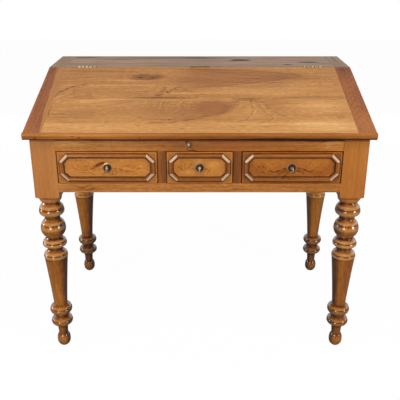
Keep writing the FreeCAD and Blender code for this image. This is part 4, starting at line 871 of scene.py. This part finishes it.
# figure of each front, x and height from its key in millimetres, and ovals where the pips crowd
drawerFigure = {
    "left": {
        "seed": 3.0, "tone": 0.72, "red": 0.1,
        "crowds": [(-69, 8, 24, 14, 0, 0.6), (62, 11, 16, 12, 0, 0.6), (84, 16, 9, 6, 0, 0.5),
                   (-90, 20, 14, 6, 0, 0.6)],
        "marks": [
            (-27, 8, 25, 8, 22, 0.7, -0.26), (-14, 15, 14, 6, 10, 0.8, -0.14), (100, 3, 7, 3, 10, 0.8, 0.22),
            (-50, -12, 40, 6, -6, 0.9, 0.08), (60, -4, 40, 6, -10, 0.9, 0.08),
            *strokes([(-109, 11), (-99, -3), (-79, -10), (-55, -8), (-37, -1)], 2.2, 0.8, -0.17),
            *strokes([(-104, -4), (-86, -16), (-60, -17), (-36, -10)], 2.0, 0.8, -0.11),
            *strokes([(-98, 22), (-84, 20), (-72, 23), (-58, 20)], 2.0, 0.8, -0.14),
            *strokes([(15, -3), (31, -5), (51, -9), (67, -15), (81, -11), (101, 1)], 2.2, 0.8, -0.16),
            *strokes([(28, -11), (52, -17), (66, -22), (88, -19)], 2.0, 0.8, -0.11),
            *strokes([(14, -12), (22, -9), (28, -15), (26, -22), (18, -24), (14, -18), (14, -12)],
                     1.8, 0.8, -0.24),
            *strokes([(-14, -24), (-8, -17), (0, -16), (8, -19), (12, -25)], 1.8, 0.8, -0.20),
            *strokes([(-52, -16), (-46, -22), (-40, -24)], 1.8, 0.8, -0.14),
        ],
    },
    "middle": {
        "seed": 10.0, "tone": 0.72, "red": 0.0,
        "crowds": [(-50, 14, 16, 8, 0, 0.6), (44, -14, 12, 8, 0, 0.6)],
        "marks": [
            (43, 10, 34, 15, 0, 0.9, 0.10), (-30, -14, 24, 10, 10, 0.9, 0.06),
            *strokes([(-65, 3), (-59, -4), (-48, -7), (-36, -3), (-27, 7), (-22, 12)], 2.2, 0.8, -0.22),
            *strokes([(-67, -4), (-64, -13), (-61, -23)], 2.0, 0.8, -0.13),
            *strokes([(-55, 9), (-56, -3), (-51, -14)], 2.4, 0.8, -0.15),
            *strokes([(-44, 16), (-42, 6), (-46, -4)], 2.0, 0.8, -0.10),
            *strokes([(14, -6), (26, -8), (32, -18)], 2.2, 0.8, -0.24),
            *strokes([(22, -16), (25, -23)], 1.8, 0.8, -0.14),
            *strokes([(39, -10), (42, -22)], 1.8, 0.8, -0.13),
            *strokes([(54, -14), (55, -22)], 1.8, 0.8, -0.11),
            *strokes([(14, 23), (14, 12)], 1.6, 0.8, -0.20),
        ],
    },
    "right": {
        "seed": 17.0, "tone": 0.52, "red": 0.18,
        "crowds": [(-61, 10, 18, 11, 0, 0.6), (53, 10, 17, 12, 0, 0.6), (72, 16, 8, 5, 0, 0.6)],
        "marks": [
            (-92, -2, 22, 20, 0, 0.9, -0.05), (0, -18, 40, 7, 0, 0.9, 0.08),
            *strokes([(-109, 15), (-90, -8), (-76, -25)], 2.0, 0.8, -0.12),
            *strokes([(-97, 17), (-76, -6), (-65, -21)], 2.0, 0.8, -0.11),
            *strokes([(-112, 4), (-97, -19)], 2.0, 0.8, -0.11),
            *strokes([(-88, 17), (-69, -2), (-58, -15)], 2.0, 0.8, -0.10),
            *strokes([(57, -21), (76, -2), (101, 21)], 2.0, 0.8, -0.11),
            *strokes([(67, -25), (86, -8), (107, 8)], 2.0, 0.8, -0.11),
            *strokes([(78, -25), (95, -10), (107, -2)], 2.0, 0.8, -0.10),
            *strokes([(-69, -8), (-50, -15), (-30, -6), (-14, -2)], 2.6, 0.8, -0.22),
            *strokes([(13, -2), (30, -2), (44, -10), (55, -14), (66, -8)], 2.6, 0.8, -0.22),
            *strokes([(15, -11), (29, -13), (38, -21)], 2.2, 0.8, -0.18),
            *strokes([(-44, -22), (-28, -16), (-12, -12)], 2.0, 0.8, -0.13),
        ],
    },
}


def burlFinish(name, drawer, middle, drawn):
    look, seed = burlVeneer, drawn["seed"]
    finish, tree, shader = newFinish(name)
    spot = pieceSpot(tree)
    where = put(tree, "Mapping", {"Vector": spot, "Location": (middle, deskFront, keyHeight)},
                vector_type="TEXTURE").outputs[0]
    # two leaves of veneer, opened like a book about the keyhole
    x, y, z = parted(tree, where)
    book = put(tree, "CombineXYZ", {0: calc(tree, "ABSOLUTE", x), 1: y, 2: z}).outputs[0]
    loose = stretch(tree, where, (look["looseScale"],) * 3, (seed, seed, seed))
    loose = cloud(tree, loose, output="Color")
    book = steer(tree, "MULTIPLY_ADD", loose, (look["loose"],) * 3, book)
    # flat on the face, a little shaky, for the marks
    face = put(tree, "CombineXYZ", {0: x, 1: z, 2: 0.0}).outputs[0]
    shake = look["shake"]
    shaky = stretch(tree, face, (look["shakeScale"],) * 3, (seed, 0.0, 0.0))
    shaky = cloud(tree, shaky, output="Color")
    shaky = stretch(tree, shaky, (shake, shake, 0.0), (-shake / 2, -shake / 2, 0.0))
    face = steer(tree, "ADD", face, shaky)

    swirlScale = (look["swirl"], look["swirlDeep"], look["swirl"] * look["swirlTall"])
    swirl = cloud(tree, stretch(tree, book, swirlScale, (seed, 0.0, seed)), roughness=0.45, distortion=1.1)
    line = calc(tree, "FRACT", calc(tree, "MULTIPLY", swirl, look["lines"] * 2.0))
    line = calc(tree, "POWER", line, look["lineSharp"])
    fine = stretch(tree, book, look["fineScale"], (seed, 0.0, 0.0))
    fine = cloud(tree, fine, detail=4.0, roughness=0.65, distortion=0.8)
    eyes = put(tree, "TexVoronoi", {"Vector": stretch(tree, book, (1.0, 1.0, 1.0), (seed, 0.0, 0.0)),
                                    "Scale": look["eyes"]}).outputs["Distance"]
    crowd = 0.0
    for form in drawn["crowds"]:
        crowd = calc(tree, "ADD", oval(tree, face, *form), crowd)
    pip = calc(tree, "MULTIPLY", ease(tree, eyes, *look["eyeSpan"], 1.0, 0.0), crowd)
    figure = calc(tree, "MULTIPLY_ADD", line, -look["lineDepth"], look["lift"])
    figure = calc(tree, "MULTIPLY_ADD", pip, -look["eyeDepth"], figure)
    figure = calc(tree, "MULTIPLY_ADD", calc(tree, "SUBTRACT", swirl, 0.5), look["swirlDepth"], figure)
    figure = drawMarks(tree, figure, face, drawn["marks"], look["strength"])

    # figured veneer inside the moulding, plain corners outside it, dirt and painted shade along the edges
    straight, slanted = octagonDepth(tree, spot, drawer + "_moulding", mouldingForm["corner"])
    depth = calc(tree, "SUBTRACT", calc(tree, "MINIMUM", straight, slanted), mouldingForm["width"])
    panel = span(tree, depth, *look["panelEdge"], 0.0, 1.0)
    foot = ease(tree, depth, 0.0, look["foot"], look["footDepth"], 0.0)
    foot = calc(tree, "MULTIPLY", foot, panel)
    edge = octagonDepth(tree, spot, drawer + "_front", 0.0)[0]
    rim = ease(tree, edge, look["rim"] * 0.5, look["rim"], look["rimDepth"], 0.0)
    paleBand = span(tree, edge, look["rim"], look["paleBand"], look["rubbedTone"], 0.0)
    figured = calc(tree, "SUBTRACT", figure, look["margin"])
    tone = calc(tree, "MULTIPLY_ADD", figured, panel, drawn["tone"] + look["margin"])
    tone = calc(tree, "MULTIPLY_ADD", calc(tree, "SUBTRACT", fine, 0.5), look["fineDepth"], tone)
    tone = calc(tree, "ADD", calc(tree, "SUBTRACT", calc(tree, "SUBTRACT", tone, rim), foot), paleBand)
    colour = mixed(tree, drawn["red"], shades(tree, tone, burlShades), shades(tree, tone, burlRedShades))
    rough = calc(tree, "MULTIPLY_ADD", fine, look["roughFine"], look["roughness"] - look["roughFine"] / 2)
    feed(tree, shader, {
        "Base Color": colour, "Roughness": rough,
        "Normal": bumped(tree, look["relief"], look["reliefDepth"], fine, softArris(tree, look["edge"])),
        "Coat Weight": look["coat"], "Coat Roughness": coatRoughness,
    })
    return finish


drawerMoulding = {
    "seed": 53.0, "shades": caseShades, "tone": 0.40, "ringWidth": 0.006, "roughness": 0.24, "coat": 0.45,
    "edge": 0.0006, "edgeTone": 0.06, "streaks": 0.12, "relief": 0.08,
}
innerWood = {
    "turn": grainBack, "seed": 59.0, "tone": 0.52, "ringWidth": 0.014, "roughness": 0.62, "gloss": 0.35,
    "shades": [
        (0.0, tint(66, 44, 26)), (0.3, tint(126, 92, 60)), (0.6, tint(172, 134, 92)),
        (1.0, tint(208, 174, 130)),
    ],
}
acrossWood = {**innerWood, "turn": (0.0, 0.0, 0.0), "seed": 61.0}
insideWood = walnutFinish("drawerInsideWood", **innerWood)
insideAcross = walnutFinish("drawerBackWood", **acrossWood)
for side, middle in drawerMiddle.items():
    drawer = "drawer_" + side
    burl = burlFinish(side + "DrawerBurl", drawer, middle, drawerFigure[side])
    strips = walnutFinish(side + "MouldingWalnut", **drawerMoulding, octagon=drawer + "_moulding")
    dress(burl, drawer + "_front")
    dress(strips, drawer + "_moulding")
    dress(insideWood, drawer + "_sides", drawer + "_bottom")
    dress(insideAcross, drawer + "_back")
dress(insideWood, "drawer_runners")
dress(insideAcross, "dust_board")
print("drawers finished")


# Brass, steel and string

metalWear = {
    "arris": 0.0004, "bump": 0.15, "bumpDepth": 0.0002,
    "dullRough": 0.25,                       # tarnish is rougher
    "scratches": (900.0, 2600.0, 900.0),     # in a metre
    "grimeSpan": 0.4,
}


def tarnished(tree, spot, scale, low, high):
    spots = cloud(tree, stretch(tree, spot, (scale, scale, scale)), detail=4.0, roughness=0.65)
    return ease(tree, spots, low, high, 0.0, 1.0)


def feedMetal(tree, shader, colour, dull, roughness, height, metallic):
    softNormal = softArris(tree, metalWear["arris"])
    feed(tree, shader, {
        "Base Color": colour, "Metallic": metallic,
        "Roughness": calc(tree, "MULTIPLY_ADD", dull, metalWear["dullRough"], roughness),
        "Normal": bumped(tree, metalWear["bump"], metalWear["bumpDepth"], height, softNormal),
    })


def metalFinish(name, bright, dull, roughness, grime=0.5, scale=260.0, metallic=1.0):
    finish, tree, shader = newFinish(name)
    spot = pieceSpot(tree)
    spread = grime * metalWear["grimeSpan"]
    tarnish = tarnished(tree, spot, scale, 0.5 - spread, 0.5 + spread)
    scratch = cloud(tree, stretch(tree, spot, metalWear["scratches"]))
    feedMetal(tree, shader, mixed(tree, tarnish, bright, dull), tarnish, roughness, scratch, metallic)
    return finish


keyPlate = {
    "rim": tint(206, 174, 140), "face": tint(132, 78, 48), "dark": tint(60, 30, 16),
    "metallic": 0.6, "roughness": 0.24,
    "rimStart": 0.72, "rimEnd": 0.86,        # shares of the plate's radius
    "rimLost": 0.5,                          # share of the rim that tarnish covers
    "scale": 420.0, "tarnish": (0.35, 0.65),
}


def plateFinish(name, node):
    finish, tree, shader = newFinish(name)
    low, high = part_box(node)
    spot = pieceSpot(tree)
    toMiddle = tuple(-(a + b) / 2 for a, b in zip(low, high))
    flat = steer(tree, "MULTIPLY", steer(tree, "ADD", spot, toMiddle), (1.0, 0.0, 1.0))
    radius = (high[0] - low[0]) / 2
    rimStart, rimEnd = radius * keyPlate["rimStart"], radius * keyPlate["rimEnd"]
    rim = ease(tree, steer(tree, "LENGTH", flat), rimStart, rimEnd, 0.0, 1.0)
    tarnish = tarnished(tree, spot, keyPlate["scale"], *keyPlate["tarnish"])
    face = mixed(tree, tarnish, keyPlate["face"], keyPlate["dark"])
    rimShare = calc(tree, "MULTIPLY", rim, calc(tree, "MULTIPLY_ADD", tarnish, -keyPlate["rimLost"], 1.0))
    colour = mixed(tree, rimShare, face, keyPlate["rim"])
    feedMetal(tree, shader, colour, tarnish, keyPlate["roughness"], tarnish, keyPlate["metallic"])
    return finish


hingeBrass = {
    "bright": tint(240, 226, 190), "dull": tint(120, 88, 48), "metallic": 0.6, "roughness": 0.30,
    "knuckles": 5, "length": 0.065, "apart": 0.386,      # metres, outer hinges from the middle
    "knuckleGap": (0.06, 0.20),                          # shares of a knuckle
    "middleReach": (0.10, 0.11),                         # nearer to the middle is the middle hinge
    "middleDull": 0.8,
    "scale": 160.0, "tarnish": (0.45, 0.68),
}


def hingeFinish(name):
    look = hingeBrass
    finish, tree, shader = newFinish(name)
    spot = pieceSpot(tree)
    away = calc(tree, "ABSOLUTE", parted(tree, spot)[0])
    outer = span(tree, away, *look["middleReach"], 0.0, 1.0)
    start = calc(tree, "MULTIPLY_ADD", outer, -look["apart"], away)
    knuckle = calc(tree, "MULTIPLY_ADD", start, look["knuckles"] / look["length"], 0.5)
    gap = calc(tree, "PINGPONG", knuckle, 0.5)
    gap = ease(tree, gap, *look["knuckleGap"], 1.0, 0.0)
    tarnish = tarnished(tree, spot, look["scale"], *look["tarnish"])
    dull = calc(tree, "MAXIMUM", gap, tarnish)
    dull = calc(tree, "MAXIMUM", dull, span(tree, outer, 0.0, 1.0, look["middleDull"], 0.0))
    colour = mixed(tree, dull, look["bright"], look["dull"])
    feedMetal(tree, shader, colour, dull, look["roughness"], tarnish, look["metallic"])
    return finish


keyBrass = {
    "bright": tint(255, 248, 214), "dull": tint(92, 70, 40), "roughness": 0.22, "metallic": 0.35,
    "grime": 0.25, "scale": 170.0,
}
plainSteel = {"bright": tint(150, 142, 132), "dull": tint(84, 76, 68), "roughness": 0.38}
keyMetal = metalFinish("keyMetal", **keyBrass)
lockSteel = metalFinish("lockSteel", **plainSteel)
dress(hingeFinish("hingeBrass"), "hinge_top_leaves", "hinge_lid_leaves")
dress(lockSteel, "hinge_pins", "hinge_top_screws", "hinge_lid_screws", "lid_lock_cap", "lid_strike_plate",
      "lid_lock_bolt")
dress(plateFinish("lidKeyPlate", "lid_escutcheon"), "lid_escutcheon")
dress(keyMetal, "lid_key")
for side in drawerMiddle:
    plate = "drawer_" + side + "_escutcheon"
    dress(plateFinish(side + "KeyPlate", plate), plate)
    dress(lockSteel, "drawer_" + side + "_lock", "drawer_" + side + "_bolt")
    dress(keyMetal, "drawer_" + side + "_key")


stringLook = {
    "pale": tint(84, 36, 18), "dark": tint(34, 12, 5),
    "plies": 900.0, "fluff": 1500.0,         # in a metre
    "fluffShade": 0.7,
    "fluffSpan": (0.3, 0.7), "roughSpan": (0.75, 0.95),
    "relief": 0.6, "reliefDepth": 0.0003,
}


def stringFinish(name):
    look = stringLook
    finish, tree, shader = newFinish(name)
    spot = pieceSpot(tree)
    x, y, z = parted(tree, spot)
    along = calc(tree, "ADD", calc(tree, "ADD", x, y), z)
    ply = calc(tree, "FRACT", calc(tree, "MULTIPLY", along, look["plies"]))      # twisted plies
    ply = calc(tree, "PINGPONG", ply, 0.5)
    fluff = cloud(tree, stretch(tree, spot, (look["fluff"],) * 3))
    shade = calc(tree, "MULTIPLY_ADD", fluff, look["fluffShade"], ply, clamp=True)
    bump = put(tree, "Bump", {"Strength": look["relief"], "Distance": look["reliefDepth"], "Height": ply})
    feed(tree, shader, {
        "Base Color": mixed(tree, shade, look["dark"], look["pale"]),
        "Roughness": span(tree, fluff, *look["fluffSpan"], *look["roughSpan"]), "Normal": bump.outputs[0],
    })
    return finish


keyString = stringFinish("keyString")
for piece in stringPieces:
    piece.data.materials.append(keyString)
print("metal and string finished")


# Floor, world and lamps

studio = {
    "floorSize": 14.0,
    "floorWhite": 0.98,         # share of plain white that the camera sees
    "floorMirrored": 0.12,      # its brightness in reflections
    "paperSeen": 0.9,           # grey of the floor to the camera, and as it lights the desk
    "paperBounce": 0.22,
    "fill": 0.08,               # light from all round
    "dimRoom": 0.08,            # the studio round the camera, in reflections
    "paperEdge": (-0.1, 0.45),  # where the paper behind begins, and where it ends above
    "paperTop": (0.50, 0.75),
    "softboxes": {
        "leftSoftbox": {"place": (-2.6, -1.2, 1.5), "size": (0.9, 0.9), "watts": 25.0},
        "rightSoftbox": {"place": (2.3, -1.4, 1.5), "size": (0.9, 0.9), "watts": 23.0},
        "frontSoftbox": {"place": (-1.05, -4.0, 2.5), "size": (1.1, 1.1), "watts": 40.0},
        "overheadSoftbox": {"place": (0.0, -1.2, 2.8), "size": (2.0, 1.2), "watts": 26.5},
        "backLeftSoftbox": {"place": (-1.5, 2.9, 0.75), "size": (1.0, 0.9), "watts": 17.0},
        "backRightSoftbox": {"place": (1.5, 2.9, 0.75), "size": (1.0, 0.9), "watts": 17.0},
    },
    "lookAt": (0.0, -0.1, 0.6),
    # low boxes that show as glints on the turnings, where the soft ones don't
    "glints": {
        "leftGlint": {"place": (-2.65, -0.03, 0.78), "size": (0.55, 0.4), "watts": 13.0},
        "frontGlint": {"place": (-1.24, -3.15, 0.86), "size": (0.7, 0.45), "watts": 19.0},
        "rightGlint": {"place": (2.26, -1.52, 0.84), "size": (0.55, 0.4), "watts": 13.0},
    },
    "glintColour": (1.0, 0.93, 0.80),
}


def seenBy(tree):
    # 1 for what the camera sees, and 1 for what shows in reflections
    path = put(tree, "LightPath").outputs
    return path["Is Camera Ray"], calc(tree, "MAXIMUM", path["Is Glossy Ray"], path["Is Transmission Ray"])


def layFloor():
    bpy.ops.mesh.primitive_plane_add(size=studio["floorSize"], location=(0.0, 0.0, 0.0))
    floor = bpy.context.object
    floor.name = "studioFloor"
    finish = bpy.data.materials.new("palePaper")
    finish.use_nodes = True
    tree = finish.node_tree
    tree.nodes.clear()
    camera, mirrored = seenBy(tree)
    bounce, seen = [(studio[key],) * 3 + (1.0,) for key in ("paperBounce", "paperSeen")]
    paper = put(tree, "BsdfDiffuse", {"Color": mixed(tree, camera, bounce, seen)})
    strength = calc(tree, "MULTIPLY_ADD", mirrored, studio["floorMirrored"], camera)
    white = put(tree, "Emission", {"Color": (1.0, 1.0, 1.0, 1.0), "Strength": strength})
    share = calc(tree, "MULTIPLY_ADD", camera, studio["floorWhite"], mirrored)
    blend = put(tree, "MixShader", {0: share, 1: paper.outputs[0], 2: white.outputs[0]})
    put(tree, "OutputMaterial", {"Surface": blend.outputs[0]})
    floor.data.materials.append(finish)


def lightWorld():
    world = bpy.data.worlds.new("studioWorld")
    bpy.context.scene.world = world
    world.use_nodes = True
    tree = world.node_tree
    tree.nodes.clear()
    camera, mirrored = seenBy(tree)
    # white paper hangs behind the desk, and the room before it is dim
    _, y, z = parted(tree, put(tree, "TexCoord").outputs["Generated"])
    behind = ease(tree, y, *studio["paperEdge"], 0.0, 1.0)
    paperHigh = ease(tree, z, *studio["paperTop"], 1.0 - studio["dimRoom"], 0.0)
    backdrop = calc(tree, "MULTIPLY_ADD", behind, paperHigh, studio["dimRoom"])
    beyondFill = calc(tree, "SUBTRACT", backdrop, studio["fill"])
    strength = calc(tree, "MULTIPLY_ADD", mirrored, beyondFill, studio["fill"])
    strength = calc(tree, "MAXIMUM", strength, camera)
    sky = put(tree, "Background", {"Color": (1.0, 1.0, 1.0, 1.0), "Strength": strength})
    put(tree, "OutputWorld", {"Surface": sky.outputs[0]})


def hangLamps(lamps, colour=(1.0, 1.0, 1.0), inGlints=True):
    for name, box in lamps.items():
        bpy.ops.object.light_add(type="AREA", location=box["place"])
        lamp = bpy.context.object
        lamp.name = name
        lamp.data.shape = "RECTANGLE"
        lamp.data.size, lamp.data.size_y = box["size"]
        lamp.data.energy = box["watts"]
        lamp.data.color = colour
        lamp.visible_glossy = inGlints
        aim = lamp.location - Vector(studio["lookAt"])
        lamp.rotation_euler = aim.to_track_quat("Z", "Y").to_euler()


layFloor()
lightWorld()
hangLamps(studio["softboxes"], inGlints=False)
hangLamps(studio["glints"], studio["glintColour"])
bpy.context.scene.view_settings.view_transform = "Standard"
print("studio lit")
